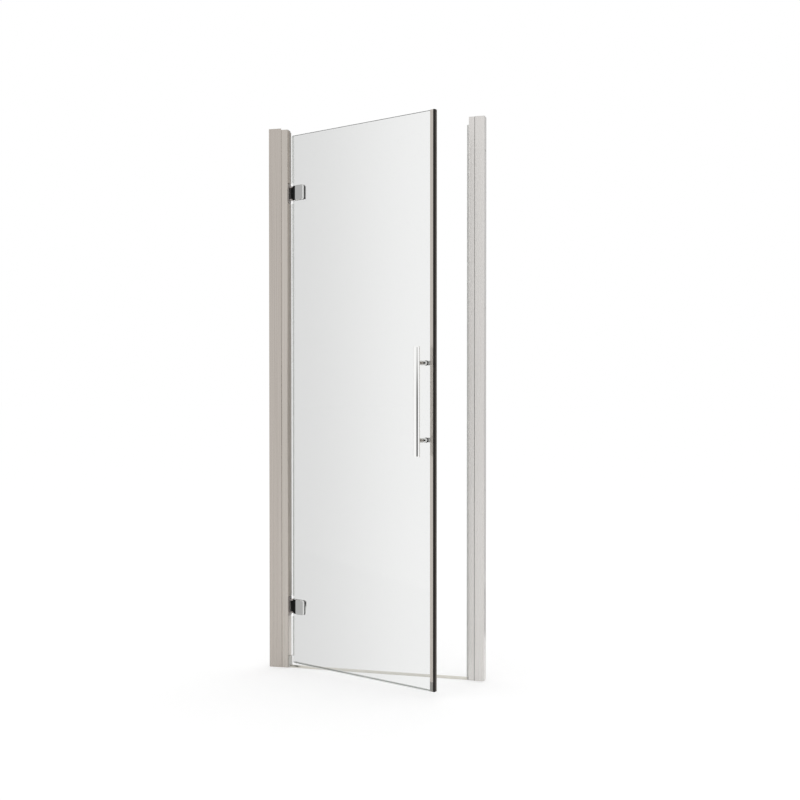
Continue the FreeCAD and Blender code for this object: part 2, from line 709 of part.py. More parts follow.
def leaf(body, level, side):
    """A flat leaf over the glass, with its corners rounded; the front one starts after the gasket's upstand."""
    start = "-leaf_outer" if side == "rear" else "leaf_inner"
    hinge_end = "leaf_start" if side == "rear" else "front_leaf_start"
    slab = new_sketch(body, "XZ_Plane", start, "0", level)
    rectangle(slab, hinge_end, "leaf_end", "-leaf_half", "leaf_half")
    pad(body, slab, "leaf_thickness")
    for edge, radius in (("leaf_end", "leaf_corner_radius"), (hinge_end, "leaf_inner_radius")):
        round_edges(body, radius, *[{"X": edge, "Z": f"{level} {way} leaf_half"} for way in "+-"])
    round_edges(body, "leaf_bevel", {"Y": "leaf_outer" if side == "rear" else "-leaf_outer"})


def hinge_leaves(name, level):
    rear = new_body(f"{name}_hinge_rear_leaf", door)
    leaf(rear, level, "rear")
    neck = new_sketch(rear, "XY_Plane", f"{level} - knuckle_half")
    neck_end = "leaf_start - neck_clearance"
    outline(neck, [("0", "0"), (neck_end, "0"), (neck_end, "leaf_inner"),
                   ("leaf_start + leaf_inner_radius", "leaf_inner"),
                   ("leaf_start + leaf_inner_radius", "leaf_outer - leaf_bevel"),
                   ("0", "knuckle_radius")])
    pad(rear, neck, "knuckle_height")
    barrel = new_sketch(rear, "XY_Plane", f"{level} - knuckle_half")
    circle(barrel, "0", "0", "knuckle_radius")
    pad(rear, barrel, "knuckle_height")
    bore = new_sketch(rear, "XY_Plane", f"{level} - knuckle_half - overrun")
    circle(bore, "0", "0", "bush_radius + screw_fit")
    pocket(rear, bore, "knuckle_height + 2 * overrun", True)
    front = new_body(f"{name}_hinge_front_leaf", door)
    leaf(front, level, "front")
    gaskets = new_body(f"{name}_hinge_gaskets", door)
    for start in ("glass_half", "-leaf_inner"):
        sheet = new_sketch(gaskets, "XZ_Plane", start, "0", level)
        rectangle(sheet, "notch_reach", "leaf_end - gasket_inset",
                  "gasket_inset - leaf_half", "leaf_half - gasket_inset")
        for way in "+-":
            circle(sheet, "leaf_screw_x", f"{way}leaf_screw_spacing / 2", "leaf_screw_hole_radius")
        pad(gaskets, sheet, "gasket_thickness")
    upstand = new_sketch(gaskets, "XZ_Plane", "glass_half", "0", level)
    rectangle(upstand, "leaf_start", "upstand_end", "gasket_inset - leaf_half", "leaf_half - gasket_inset")
    pad(gaskets, upstand, "leaf_outer - upstand_drop - glass_half")
    screws = new_body(f"{name}_hinge_clamp_screws", door)
    bite = "leaf_outer + leaf_inner + leaf_screw_bite"
    for way in "+-":
        height = f"{level} {way} leaf_screw_spacing / 2"
        flat_hole(rear, "YZ_Plane", "leaf_outer", "-", "leaf_thickness", "leaf_screw_x", up=height)
        flat_screw(screws, "YZ_Plane", "leaf_outer", "-", bite, "leaf_screw_x", up=height)
        blind = new_sketch(front, "XZ_Plane", "leaf_inner - overrun", "leaf_screw_x", height)
        circle(blind, "0", "0", "flat_screw_radius + screw_fit")
        pocket(front, blind, "leaf_screw_bite + overrun + screw_fit", True)


for name, level in hinge_levels.items():
    wall_plate(name, level)
    hinge_pin(name, level)
    hinge_bushes(name, level)
    knuckle_cover(name, level)
    hinge_leaves(name, level)

# Glass, notched round each hinge, with holes for the hinge screws and the handle.
glass = new_body("glass_panel", door)
sheet = new_sketch(glass, "XZ_Plane", "-glass_half")
rim = [("glass_setback", "glass_bottom"), ("glass_end", "glass_bottom"), ("glass_end", "glass_top"),
       ("glass_setback", "glass_top")]
for level in ("upper_hinge_z", "lower_hinge_z"):
    rim += [("glass_setback", f"{level} + notch_half"), ("notch_reach", f"{level} + notch_half"),
            ("notch_reach", f"{level} - notch_half"), ("glass_setback", f"{level} - notch_half")]
outline(sheet, rim)
for level in hinge_levels.values():
    for way in "+-":
        circle(sheet, "leaf_screw_x", f"{level} {way} leaf_screw_spacing / 2", "leaf_screw_hole_radius")
handle_levels = {"upper": "handle_z + handle_post_spacing / 2",
                 "lower": "handle_z - handle_post_spacing / 2"}
for level in handle_levels.values():
    circle(sheet, "handle_x", level, "handle_hole_radius")
pad(glass, sheet, "glass_thickness")

# Clear fin seal on the hinge edge, in three lengths that stop short of the hinges and the sill block.
edge_seal = new_body("hinge_side_seal", door)
plate_gap = "plate_height / 2 + edge_seal_end_gap"
for low, high in (("sill_hinge_block_height + edge_seal_end_gap", f"lower_hinge_z - ({plate_gap})"),
                  (f"lower_hinge_z + {plate_gap}", f"upper_hinge_z - ({plate_gap})"),
                  (f"upper_hinge_z + {plate_gap}", "glass_top")):
    section = new_sketch(edge_seal, "XY_Plane", low)
    web = "edge_seal_inner - seal_web"
    outline(section, [("edge_seal_tip", "-fin_thickness / 2"), (web, "-fin_thickness / 2"),
                      (web, "-seal_outer"), ("edge_seal_end", "-seal_outer"),
                      ("edge_seal_end", "-seal_inner"), ("edge_seal_inner", "-seal_inner"),
                      ("edge_seal_inner", "seal_inner"), ("edge_seal_end", "seal_inner"),
                      ("edge_seal_end", "seal_outer"), (web, "seal_outer"),
                      (web, "fin_thickness / 2"), ("edge_seal_tip", "fin_thickness / 2")])
    pad(edge_seal, section, f"{high} - ({low})")

# Clear drip seal under the glass.
bottom_seal = new_body("bottom_seal", door)
seal_start = "edge_seal_end + bottom_seal_end_gap"
drip = new_sketch(bottom_seal, "YZ_Plane", seal_start)
leg_top = "bottom_seal_inner + bottom_seal_leg"
fin_foot = "bottom_seal_foot - bottom_fin_drop"
outline(drip, [("-seal_outer", "bottom_seal_foot"), ("-fin_thickness / 2", "bottom_seal_foot"),
               ("-fin_thickness / 2", fin_foot), ("fin_thickness / 2", fin_foot),
               ("fin_thickness / 2", "bottom_seal_foot"), ("seal_outer", "bottom_seal_foot"),
               ("seal_outer", leg_top), ("seal_inner", leg_top), ("seal_inner", "bottom_seal_inner"),
               ("-seal_inner", "bottom_seal_inner"), ("-seal_inner", leg_top), ("-seal_outer", leg_top)])
pad(bottom_seal, drip, f"edge_start - bottom_seal_end_gap - ({seal_start})")


def edge_section(body, bottom, pocket_half, floor):
    """The free edge's outline, with a slot for the glass and a groove for the seal's tongue."""
    section = new_sketch(body, "XY_Plane", bottom)
    half = "tongue_width / 2 + tongue_clearance"
    root = "door_reach - tongue_depth - tongue_clearance"
    outline(section, [("edge_start", "-edge_half"), ("door_reach", "-edge_half"),
                      ("door_reach", f"-({half})"), (root, f"-({half})"), (root, half), ("door_reach", half),
                      ("door_reach", "edge_half"), ("edge_start", "edge_half"),
                      ("edge_start", pocket_half), (floor, pocket_half),
                      (floor, f"-({pocket_half})"), ("edge_start", f"-({pocket_half})")])
    return section


# Free edge: profile, glazing gasket, corner block at the foot, dark magnetic seal.
edge_corners = [{"X": "edge_start", "Y": f"{side}edge_half"} for side in ("", "-")]
profile = new_body("door_edge_profile", door)
pad(profile, edge_section(profile, "block_top", "edge_pocket_half", "edge_floor"), "glass_top - block_top")
round_edges(profile, "edge_profile_radius", *edge_corners)
edge_gasket = new_body("door_edge_gasket", door)
lining = new_sketch(edge_gasket, "XY_Plane", "block_top")
lining_out = "edge_pocket_half - edge_gasket_fit"
lining_in = "glass_half + edge_gasket_fit"
lining_end = "edge_floor - edge_gasket_fit"
lining_floor = "edge_floor - edge_gasket_web"
outline(lining, [("edge_start", f"-({lining_out})"), (lining_end, f"-({lining_out})"),
                 (lining_end, lining_out), ("edge_start", lining_out),
                 ("edge_start", lining_in), (lining_floor, lining_in),
                 (lining_floor, f"-({lining_in})"), ("edge_start", f"-({lining_in})")])
pad(edge_gasket, lining, "glass_top - block_top")
corner_block = new_body("door_corner_block", door)
pad(corner_block, edge_section(corner_block, "glass_bottom", lining_in, "glass_end + edge_gasket_fit"),
    "corner_block_height")
round_edges(corner_block, "edge_profile_radius", *edge_corners)
magnetic_seal("door_seal_carrier", "door_seal_magnet", door, "door_reach", "door_carrier_depth",
              "edge_half", "glass_bottom")

# Handle: a tube with end caps, on two standoffs that are drawn to the glass by studs and inner knobs.
bar = new_body("handle_bar", door)
tube_end = new_sketch(bar, "XY_Plane", "handle_bottom + handle_cap_thickness", "handle_x", "handle_y")
circle(tube_end, "0", "0", "handle_radius")
circle(tube_end, "0", "0", "handle_radius - handle_wall")
pad(bar, tube_end, "handle_length - 2 * handle_cap_thickness")
caps = new_body("handle_end_caps", door)
for way in "+-":
    half = new_sketch(caps, "XZ_Plane", "-(handle_y)", "handle_x", "handle_z")
    shoulder = f"{way}(handle_length / 2 - handle_cap_thickness)"
    inside = f"{way}(handle_length / 2 - handle_cap_thickness - handle_spigot_length)"
    top = f"{way}(handle_length / 2)"
    spigot = "handle_radius - handle_wall - handle_fit"
    outline(half, [("0", inside), (spigot, inside), (spigot, shoulder), ("handle_radius", shoulder),
                   ("handle_radius", top), ("0", top)])
    turn(caps, half, "V_Axis")
round_edges(caps, "handle_cap_rounding", {"Z": "handle_z + handle_length / 2"},
            {"Z": "handle_z - handle_length / 2"})

grommets = new_body("handle_grommets", door)
studs = new_body("handle_studs", door)
stud_start = "handle_y + handle_radius - handle_wall"
stud_hole = "stud_radius + stud_fit"
for name, level in handle_levels.items():
    entry = new_sketch(bar, "XZ_Plane", "-(handle_y)", "handle_x", level)
    circle(entry, "0", "0", stud_hole)
    pocket(bar, entry, "handle_radius + overrun")
    standoff = new_body(f"handle_{name}_standoff", door)
    post = new_sketch(standoff, "XZ_Plane", "-(standoff_base)", "handle_x", level)
    circle(post, "0", "0", "standoff_radius")
    circle(post, "0", "0", stud_hole)
    pad(standoff, post, "standoff_base - handle_y")
    below = f"{level} - standoff_radius - overrun"
    saddle = new_sketch(standoff, "XY_Plane", below, "handle_x", "handle_y")
    circle(saddle, "0", "0", "handle_radius + screw_fit")
    pocket(standoff, saddle, "2 * (standoff_radius + overrun)", True)
    for side, flange_face in (("-", "-standoff_base"), ("", "knob_base")):
        ring = new_sketch(grommets, "YZ_Plane", "handle_x", "0", level)
        collar_end = f"{side}grommet_collar_gap / 2"
        glass_face, outer_face = f"{side}glass_half", f"{side}({flange_face})"
        outline(ring, [(collar_end, stud_hole), (collar_end, "grommet_collar_radius"),
                       (glass_face, "grommet_collar_radius"), (glass_face, "grommet_radius"),
                       (outer_face, "grommet_radius"), (outer_face, stud_hole)])
        turn(grommets, ring)
    knob = new_body(f"handle_{name}_knob", door)
    half = new_sketch(knob, "YZ_Plane", "handle_x", "0", level)
    knob_end = "knob_base + knob_length"
    socket = f"{knob_end} - knob_floor"
    outline(half, [("knob_base", stud_hole), ("knob_base", "standoff_radius"),
                   (knob_end, "standoff_radius"), (knob_end, "0"), (socket, "0"), (socket, stud_hole)])
    turn(knob, half)
    round_edges(knob, "knob_rounding", {"Y": knob_end})
    rod = new_sketch(studs, "XZ_Plane", f"-({socket} - stud_fit)", "handle_x", level)
    circle(rod, "0", "0", "stud_radius")
    pad(studs, rod, f"{socket} - stud_fit - ({stud_start})")

doc.recompute()
for item in doc.Objects:
    if "Invalid" in item.State or "Error" in item.State:
        raise RuntimeError(f"{item.Label} failed: {item.State}")
parts = [item for item in doc.Objects if item.TypeId == "PartDesign::Body"]
for part in parts:
    if part.Shape.isNull() or not part.Shape.isValid():
        raise RuntimeError(f"{part.Label} has no valid shape")
os.makedirs("parts", exist_ok=True)
for part in parts:
    part.Shape.exportStep(f"parts/{part.Label}.step")
print(len(parts), "pieces written")
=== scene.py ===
import json
import math
import bmesh
import bpy
from mathutils import Matrix, Vector


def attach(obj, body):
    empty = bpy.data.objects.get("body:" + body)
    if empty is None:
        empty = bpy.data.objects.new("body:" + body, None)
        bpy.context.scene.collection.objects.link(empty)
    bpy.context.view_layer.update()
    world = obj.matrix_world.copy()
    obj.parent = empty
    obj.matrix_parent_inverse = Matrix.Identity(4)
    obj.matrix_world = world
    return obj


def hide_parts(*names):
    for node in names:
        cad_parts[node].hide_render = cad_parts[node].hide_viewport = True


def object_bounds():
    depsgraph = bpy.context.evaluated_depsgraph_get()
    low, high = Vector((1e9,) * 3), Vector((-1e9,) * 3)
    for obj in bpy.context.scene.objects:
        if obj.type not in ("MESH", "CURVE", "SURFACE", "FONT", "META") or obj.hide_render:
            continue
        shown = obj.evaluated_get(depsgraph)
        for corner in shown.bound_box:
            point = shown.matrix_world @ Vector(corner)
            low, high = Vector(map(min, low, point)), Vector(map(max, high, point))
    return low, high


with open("model.json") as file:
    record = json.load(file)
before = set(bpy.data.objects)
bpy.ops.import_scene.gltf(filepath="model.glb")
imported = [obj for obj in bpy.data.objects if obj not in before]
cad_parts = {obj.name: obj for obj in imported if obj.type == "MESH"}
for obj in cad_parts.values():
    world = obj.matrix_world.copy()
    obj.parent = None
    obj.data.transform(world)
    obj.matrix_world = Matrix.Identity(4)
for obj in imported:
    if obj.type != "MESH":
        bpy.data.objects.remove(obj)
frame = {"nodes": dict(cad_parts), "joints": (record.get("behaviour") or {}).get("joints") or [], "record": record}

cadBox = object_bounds()
nodes = frame["nodes"]
bodies = frame["record"]["behaviour"]["bodies"]
bodyOf = {node: body for body, members in bodies.items() for node in members}

# the door stands ajar: its own frame starts at the hinge axis and runs along the glass
mm = 0.001
swing = next(joint for joint in frame["joints"] if joint["name"] == "door_swing")
openAngle = math.radians(-swing["range_deg"][0])
axisPlace = Matrix.Translation((swing["pos_m"][0], swing["pos_m"][1], 0))
doorPlace = axisPlace @ Matrix.Rotation(-openAngle, 4, "Z")
rowPlace = Matrix.Identity(4)
strikePlace = Matrix.Translation((cadBox[1][0], 0, 0)) @ Matrix.Rotation(math.pi, 4, "Z")
print("frame loaded,", len(nodes), "nodes")


# materials

socketNames = {"colour": "Base Color", "metal": "Metallic", "rough": "Roughness", "ior": "IOR",
               "alpha": "Alpha", "through": "Transmission Weight", "shine": "Specular IOR Level",
               "glowColour": "Emission Color"}
patternRange = (0.3, 0.7)  # where most of a noise pattern's values lie


def shaderOf(mat):
    return mat.node_tree.nodes["Principled BSDF"]


def newMaterial(name, **sockets):
    mat = bpy.data.materials.new(name)
    mat.use_nodes = True
    for socket, number in sockets.items():
        shaderOf(mat).inputs[socketNames[socket]].default_value = number
    return mat


def addNode(owner, kind, **settings):
    node = owner.node_tree.nodes.new(kind)
    for key, setting in settings.items():
        if key in node.inputs:
            node.inputs[key].default_value = setting
        else:
            setattr(node, key, setting)
    return node


def link(owner, source, target):
    owner.node_tree.links.new(source, target)


def remapped(owner, source, fromEnds, toEnds, **settings):  # one range of numbers put onto another
    remap = addNode(owner, "ShaderNodeMapRange", **settings)
    for key, number in zip(("From Min", "From Max", "To Min", "To Max"), (*fromEnds, *toEnds)):
        remap.inputs[key].default_value = number
    link(owner, source, remap.inputs["Value"])
    return remap.outputs["Result"]


def grain(mat, scale, detail, stretch=(1, 1, 1)):  # noise on object coordinates, pulled out along an axis
    coords = addNode(mat, "ShaderNodeTexCoord")
    mapping = addNode(mat, "ShaderNodeMapping", Scale=stretch)
    noise = addNode(mat, "ShaderNodeTexNoise", Scale=scale, Detail=detail)
    link(mat, coords.outputs["Object"], mapping.inputs["Vector"])
    link(mat, mapping.outputs["Vector"], noise.inputs["Vector"])
    return noise.outputs["Fac"]


def roughen(mat, pattern, ends):
    link(mat, remapped(mat, pattern, patternRange, ends), shaderOf(mat).inputs["Roughness"])


def tint(mat, pattern, shades):  # from the first shade to the second
    ramp = addNode(mat, "ShaderNodeValToRGB")
    for element, place, shade in zip(ramp.color_ramp.elements, patternRange, shades):
        element.position = place
        element.color = (*shade, 1)
    link(mat, pattern, ramp.inputs["Fac"])
    link(mat, ramp.outputs["Color"], shaderOf(mat).inputs["Base Color"])


def relief(mat, pattern, depth, strength):
    bump = addNode(mat, "ShaderNodeBump", Strength=strength, Distance=depth)
    link(mat, pattern, bump.inputs["Height"])
    link(mat, bump.outputs["Normal"], shaderOf(mat).inputs["Normal"])


def clearFor(mat, rayKind, surface, colour=(1, 1, 1)):  # one kind of ray goes straight through
    rays = addNode(mat, "ShaderNodeLightPath")
    clear = addNode(mat, "ShaderNodeBsdfTransparent", Color=(*colour, 1))
    mix = addNode(mat, "ShaderNodeMixShader")
    link(mat, rays.outputs[rayKind], mix.inputs["Fac"])
    link(mat, surface, mix.inputs[1])
    link(mat, clear.outputs["BSDF"], mix.inputs[2])
    link(mat, mix.outputs["Shader"], mat.node_tree.nodes["Material Output"].inputs["Surface"])


satin = {"scale": 1.0, "detail": 5.0, "upright": (240, 240, 1.5), "level": (1.5, 240, 240),
         "rough": (0.24, 0.32), "depth": 0.00001, "strength": 0.2}


def satinProfile(name, run, *shades):  # aluminium with fine streaks along its run
    mat = newMaterial(name, metal=1.0)
    streaks = grain(mat, satin["scale"], satin["detail"], satin[run])
    tint(mat, streaks, shades)
    roughen(mat, streaks, satin["rough"])
    relief(mat, streaks, satin["depth"], satin["strength"])
    return mat


hingeProfile = satinProfile("satinHingeProfile", "upright", (0.49, 0.455, 0.415), (0.55, 0.51, 0.47))
hingeChannel = satinProfile("satinHingeChannel", "upright", (0.445, 0.405, 0.37), (0.515, 0.475, 0.435))
strikeProfile = satinProfile("satinStrikeProfile", "upright", (0.66, 0.64, 0.62), (0.71, 0.69, 0.67))
sillProfile = satinProfile("satinSillProfile", "level", (0.66, 0.64, 0.585), (0.70, 0.68, 0.625))
# painted shade: the trim along the hinge post's inner face is darker than the post, for the shade in that recess
trimProfilePaintedShade = satinProfile("satinTrimStripPaintedShade", "upright", (0.365, 0.325, 0.285), (0.405, 0.365, 0.325))


def metalFinish(name, colour, rough, scale, detail=6.0):
    mat = newMaterial(name, metal=1.0, colour=(*colour, 1))
    roughen(mat, grain(mat, scale, detail), rough)
    return mat


chrome = metalFinish("polishedChrome", (0.80, 0.80, 0.79), rough=(0.03, 0.08), scale=60)
brightChrome = metalFinish("brightChrome", (0.93, 0.93, 0.92), rough=(0.03, 0.06), scale=60)
steel = metalFinish("stainlessSteel", (0.60, 0.59, 0.57), rough=(0.22, 0.34), scale=300)
# painted reflection: the hinges' wall plates get a darker steel than the chrome, for the dark surroundings their
# chrome reflects
plateSteelPaintedReflection = metalFinish("steelPlatePaintedReflection", (0.29, 0.265, 0.25), rough=(0.2, 0.3), scale=200)
standoffSteel = metalFinish("standoffSteel", (0.64, 0.64, 0.63), rough=(0.03, 0.08), scale=60)

plastic = {"cloudScale": 25, "cloudDetail": 4.0, "skinScale": 900, "skinDetail": 2.0, "strength": 0.3}


def plasticFinish(name, *shades, rough, depth, shine=0.5):
    mat = newMaterial(name, shine=shine)
    cloud = grain(mat, plastic["cloudScale"], plastic["cloudDetail"])
    tint(mat, cloud, shades)
    roughen(mat, cloud, rough)
    relief(mat, grain(mat, plastic["skinScale"], plastic["skinDetail"]), depth, plastic["strength"])
    return mat


lightSeal = plasticFinish("lightSealPlastic", (0.68, 0.68, 0.66), (0.73, 0.73, 0.71),
                          rough=(0.28, 0.38), depth=0.00003)
darkSeal = plasticFinish("darkSealPlastic", (0.010, 0.008, 0.006), (0.015, 0.012, 0.010),
                         rough=(0.38, 0.5), depth=0.00003, shine=0.2)
# painted light: a paler shade for the rear rib faces of the black door seal
sealTipPaintedLight = plasticFinish("paintedLightSealTip", (0.145, 0.126, 0.108), (0.175, 0.155, 0.135),
                        rough=(0.38, 0.5), depth=0.00003, shine=0.35)
magnet = plasticFinish("magnetBar", (0.012, 0.011, 0.010), (0.020, 0.018, 0.017),
                       rough=(0.5, 0.7), depth=0.00005)
rubber = plasticFinish("gasketRubber", (0.005, 0.005, 0.005), (0.009, 0.009, 0.009),
                       rough=(0.5, 0.65), depth=0.00005, shine=0.12)
greyPlastic = plasticFinish("greyMoulding", (0.55, 0.54, 0.51), (0.61, 0.60, 0.57),
                            rough=(0.32, 0.44), depth=0.00004)
cornerPlastic = plasticFinish("cornerMoulding", (0.29, 0.28, 0.26), (0.33, 0.32, 0.30),
                              rough=(0.35, 0.48), depth=0.00004)
# black: the real colour of the hinge bushes, and painted shade on the knuckle covers for the shaded cavity by the
# knuckle
bushAndShadePlastic = plasticFinish("bushAndShadeMoulding", (0.006, 0.006, 0.006), (0.010, 0.010, 0.010),
                            rough=(0.45, 0.55), depth=0.00003, shine=0.12)
# the ground arrises of the glass, darkened as painted shade for the dark lines along the glass's foot and top
groundEdgeAndShade = plasticFinish("groundGlassEdgeAndShade", (0.20, 0.225, 0.215), (0.25, 0.275, 0.265),
                           rough=(0.5, 0.6), depth=0.00003, shine=0.3)
groundTopAndShade = plasticFinish("groundGlassTopAndShade", (0.022, 0.034, 0.029), (0.034, 0.048, 0.042),
                          rough=(0.5, 0.6), depth=0.00003, shine=0.1)


def seeThrough(name, colour, ior):  # lamps shine through it onto what is behind
    mat = newMaterial(name, colour=(*colour, 1), rough=0.0, ior=ior, through=1.0)
    clearFor(mat, "Is Shadow Ray", shaderOf(mat).outputs["BSDF"], colour)
    return mat


glass = seeThrough("clearGlass", (0.865, 0.870, 0.866), ior=1.52)
edgeSealBody = seeThrough("edgeSealBody", (0.88, 0.89, 0.88), ior=1.1)
dripSealBody = seeThrough("dripSealBody", (0.80, 0.81, 0.795), ior=1.35)

# the seals' fins, so thin that they bend no light
film = {"alpha": 0.1, "scale": 40, "detail": 4.0, "rough": (0.12, 0.2),
        "shades": ((0.86, 0.87, 0.86), (0.92, 0.93, 0.92))}
clearSeal = newMaterial("clearSealPlastic", alpha=film["alpha"])
filmCloud = grain(clearSeal, film["scale"], film["detail"])
tint(clearSeal, filmCloud, film["shades"])
roughen(clearSeal, filmCloud, film["rough"])

finishes = {  # the ending of a node's name, and what it is made of
    "hinge_wall_channel": hingeChannel, "hinge_post": hingeProfile, "strike_wall_channel": strikeProfile,
    "strike_post": strikeProfile, "door_edge_profile": hingeProfile, "sill_rail": sillProfile,
    "strike_seal_carrier": lightSeal, "door_seal_carrier": darkSeal, "_magnet": magnet, "_gasket": rubber,
    "_gaskets": rubber, "_grommets": rubber, "door_corner_block": cornerPlastic,
    "sill_hinge_block": greyPlastic, "sill_strike_block": greyPlastic, "_plug": greyPlastic,
    "glass_panel": glass, "hinge_side_seal": clearSeal, "bottom_seal": clearSeal,
    "_studs": steel, "_screws": steel, "_washers": steel, "_pin": steel,
    "_bushes": bushAndShadePlastic, "_cover": bushAndShadePlastic, "_plate": plateSteelPaintedReflection, "_leaf": chrome, "_bar": brightChrome,
    "_caps": brightChrome, "_standoff": standoffSteel, "_knob": standoffSteel, "_trim": trimProfilePaintedShade}
finishOf = {name: next(finish for ending, finish in finishes.items() if name.endswith(ending))
            for name in nodes}
for name, node in nodes.items():
    node.data.materials.clear()
    node.data.materials.append(finishOf[name])
print("materials made,", len(bpy.data.materials))


# modelling steps, all in millimetres until a piece is put in its place

sides = {"fine": 96, "turned": 64, "plain": 48, "paneHole": 40, "small": 32, "bead": 20, "socket": 6}
smoothAngle = {"usual": 35, "hinge": 40, "profile": 30, "glass": 20}
bevelAngle = {"square": 60, "blunt": 50}  # edges sharper than this are softened
cleaning = {"doubles": 0.001, "flatAngle": 0.5, "lastDoubles": 0.003, "noLength": 0.001}
closeBy = 0.02
past = 2  # how far a cutter goes beyond what it cuts
xWay, yWay, zWay = Vector((1, 0, 0)), Vector((0, 1, 0)), Vector((0, 0, 1))


def choose(piece):
    bpy.ops.object.select_all(action="DESELECT")
    piece.select_set(True)
    bpy.context.view_layer.objects.active = piece


def editAll(piece):
    choose(piece)
    bpy.ops.object.mode_set(mode="EDIT")
    bpy.ops.mesh.select_all(action="SELECT")


def endEdit():
    bpy.ops.object.mode_set(mode="OBJECT")


def startBox(low, high):
    bpy.ops.object.select_all(action="DESELECT")
    low, high = Vector(low), Vector(high)
    bpy.ops.mesh.primitive_cube_add(size=1, location=(low + high) / 2)
    piece = bpy.context.object
    piece.scale = high - low
    bpy.ops.object.transform_apply()
    return piece


def startRod(radius, start, end, kind="plain"):
    start, end = Vector(start), Vector(end)
    bpy.ops.object.select_all(action="DESELECT")
    bpy.ops.mesh.primitive_cylinder_add(vertices=sides[kind], radius=radius, depth=(end - start).length,
                                        location=(start + end) / 2)
    piece = bpy.context.object
    piece.rotation_euler = (end - start).to_track_quat("Z", "Y").to_euler()
    bpy.ops.object.transform_apply()
    return piece


def startTurned(rings, kind="turned"):  # a disc drawn out along Z from ring to ring, each a height and a radius
    height, radius = rings[0]
    bpy.ops.object.select_all(action="DESELECT")
    bpy.ops.mesh.primitive_circle_add(vertices=sides[kind], radius=radius, fill_type="NGON",
                                      location=(0, 0, height))
    piece = bpy.context.object
    bpy.ops.object.transform_apply()
    editAll(piece)
    for nextHeight, nextRadius in rings[1:]:
        bpy.ops.mesh.extrude_region_move(TRANSFORM_OT_translate={"value": (0, 0, nextHeight - height)})
        share = nextRadius / radius
        bpy.ops.transform.resize(value=(share, share, 1), center_override=(0, 0, nextHeight))
        height, radius = nextHeight, nextRadius
    bpy.ops.mesh.select_all(action="SELECT")
    bpy.ops.mesh.normals_make_consistent(inside=False)
    endEdit()
    return piece


def roundedRim(height, radius, rounding, steps=4):  # rings of a rounded end for a turned piece
    turns = [math.pi / 2 * step / steps for step in range(steps + 1)]
    return [(height - rounding * (1 - math.sin(turn)), radius - rounding * (1 - math.cos(turn)))
            for turn in turns]


def aim(piece, direction, place):  # turns a piece made along Z to another direction and moves it
    choose(piece)
    piece.rotation_euler = Vector(direction).to_track_quat("Z", "Y").to_euler()
    piece.location = place
    bpy.ops.object.transform_apply()
    return piece


def useModifier(piece, kind, **settings):
    choose(piece)
    modifier = piece.modifiers.new(kind.lower(), kind)
    for key, setting in settings.items():
        setattr(modifier, key, setting)
    bpy.ops.object.modifier_apply(modifier=modifier.name)


def carve(piece, *tools, operation="DIFFERENCE"):
    for tool in tools:
        useModifier(piece, "BOOLEAN", operation=operation, object=tool, solver="EXACT")
        bpy.data.objects.remove(tool)
    return piece


def weldOn(piece, *others):
    return carve(piece, *others, operation="UNION")


def joinUp(pieces):  # many loose pieces as one
    if len(pieces) > 1:
        choose(pieces[0])
        for piece in pieces:
            piece.select_set(True)
        bpy.ops.object.join()
    return pieces[0]


def near(number, target):
    return abs(number - target) < closeBy


def roundEdges(piece, width, segments, test, shortest=0.0, angle=0.0):  # tested by middle and direction
    choose(piece)
    bpy.ops.object.mode_set(mode="EDIT")
    bpy.ops.mesh.select_mode(type="EDGE")
    bpy.ops.mesh.select_all(action="DESELECT")
    mesh = bmesh.from_edit_mesh(piece.data)
    for edge in mesh.edges:
        start, end = (corner.co for corner in edge.verts)
        sharp = (end - start).length > shortest and edge.calc_face_angle(0.0) >= math.radians(angle)
        edge.select_set(sharp and test((start + end) / 2, (end - start).normalized()))
    bmesh.update_edit_mesh(piece.data)
    bpy.ops.mesh.bevel(offset=width, segments=segments, affect="EDGES")
    bpy.ops.mesh.select_mode(type="VERT")
    endEdit()


def soften(piece, width, kind="square", segments=2):
    useModifier(piece, "BEVEL", width=width, segments=segments, limit_method="ANGLE",
                angle_limit=math.radians(bevelAngle[kind]))


def mergeFlat(piece):  # one face for each flat part, and no needless corners
    editAll(piece)
    bpy.ops.mesh.remove_doubles(threshold=cleaning["doubles"])
    bpy.ops.mesh.dissolve_limited(angle_limit=math.radians(cleaning["flatAngle"]))
    endEdit()


def shareFinishes(piece, finishList, pick):  # the pick gives each face, by its middle, a place in the list
    piece.data.materials.clear()
    for finish in finishList:
        piece.data.materials.append(finish)
    for face in piece.data.polygons:
        face.material_index = int(pick(face.center))


def settle(piece, name, place, finish, body, smooth="usual"):  # cleaned, and in metres at its place
    editAll(piece)
    piece.name = piece.data.name = name
    bpy.ops.mesh.remove_doubles(threshold=cleaning["lastDoubles"])
    bpy.ops.mesh.dissolve_degenerate(threshold=cleaning["noLength"])
    bpy.ops.mesh.normals_make_consistent(inside=False)
    endEdit()
    piece.matrix_world = place @ Matrix.Scale(mm, 4)
    bpy.ops.object.transform_apply()
    bpy.ops.object.shade_smooth_by_angle(angle=math.radians(smoothAngle[smooth]))
    useModifier(piece, "WEIGHTED_NORMAL", mode="FACE_AREA", weight=50, keep_sharp=True)  # flat faces stay flat
    if len(piece.data.materials) < 2:
        piece.data.materials.clear()
        piece.data.materials.append(finish)
    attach(piece, body)


def putInPlace(piece, name, place, nodeName, smooth="usual"):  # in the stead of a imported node
    settle(piece, name, place, finishOf[nodeName], bodyOf[nodeName], smooth)
    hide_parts(nodeName)


# extruded profiles and mouldings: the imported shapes, with their edges eased

easedEdges = {"hinge_wall_channel": 0.35, "strike_wall_channel": 0.35, "hinge_post": 0.4, "strike_post": 0.4,
              "door_edge_profile": 0.35, "sill_rail": 0.3, "sill_hinge_block": 0.5, "sill_strike_block": 0.5,
              "hinge_post_plug": 0.8, "strike_post_plug": 0.8, "door_corner_block": 0.5, "hinge_post_trim": 0.3}
sawnProfiles = ("hinge_wall_channel", "strike_wall_channel", "hinge_post", "strike_post")
longEdge = 500


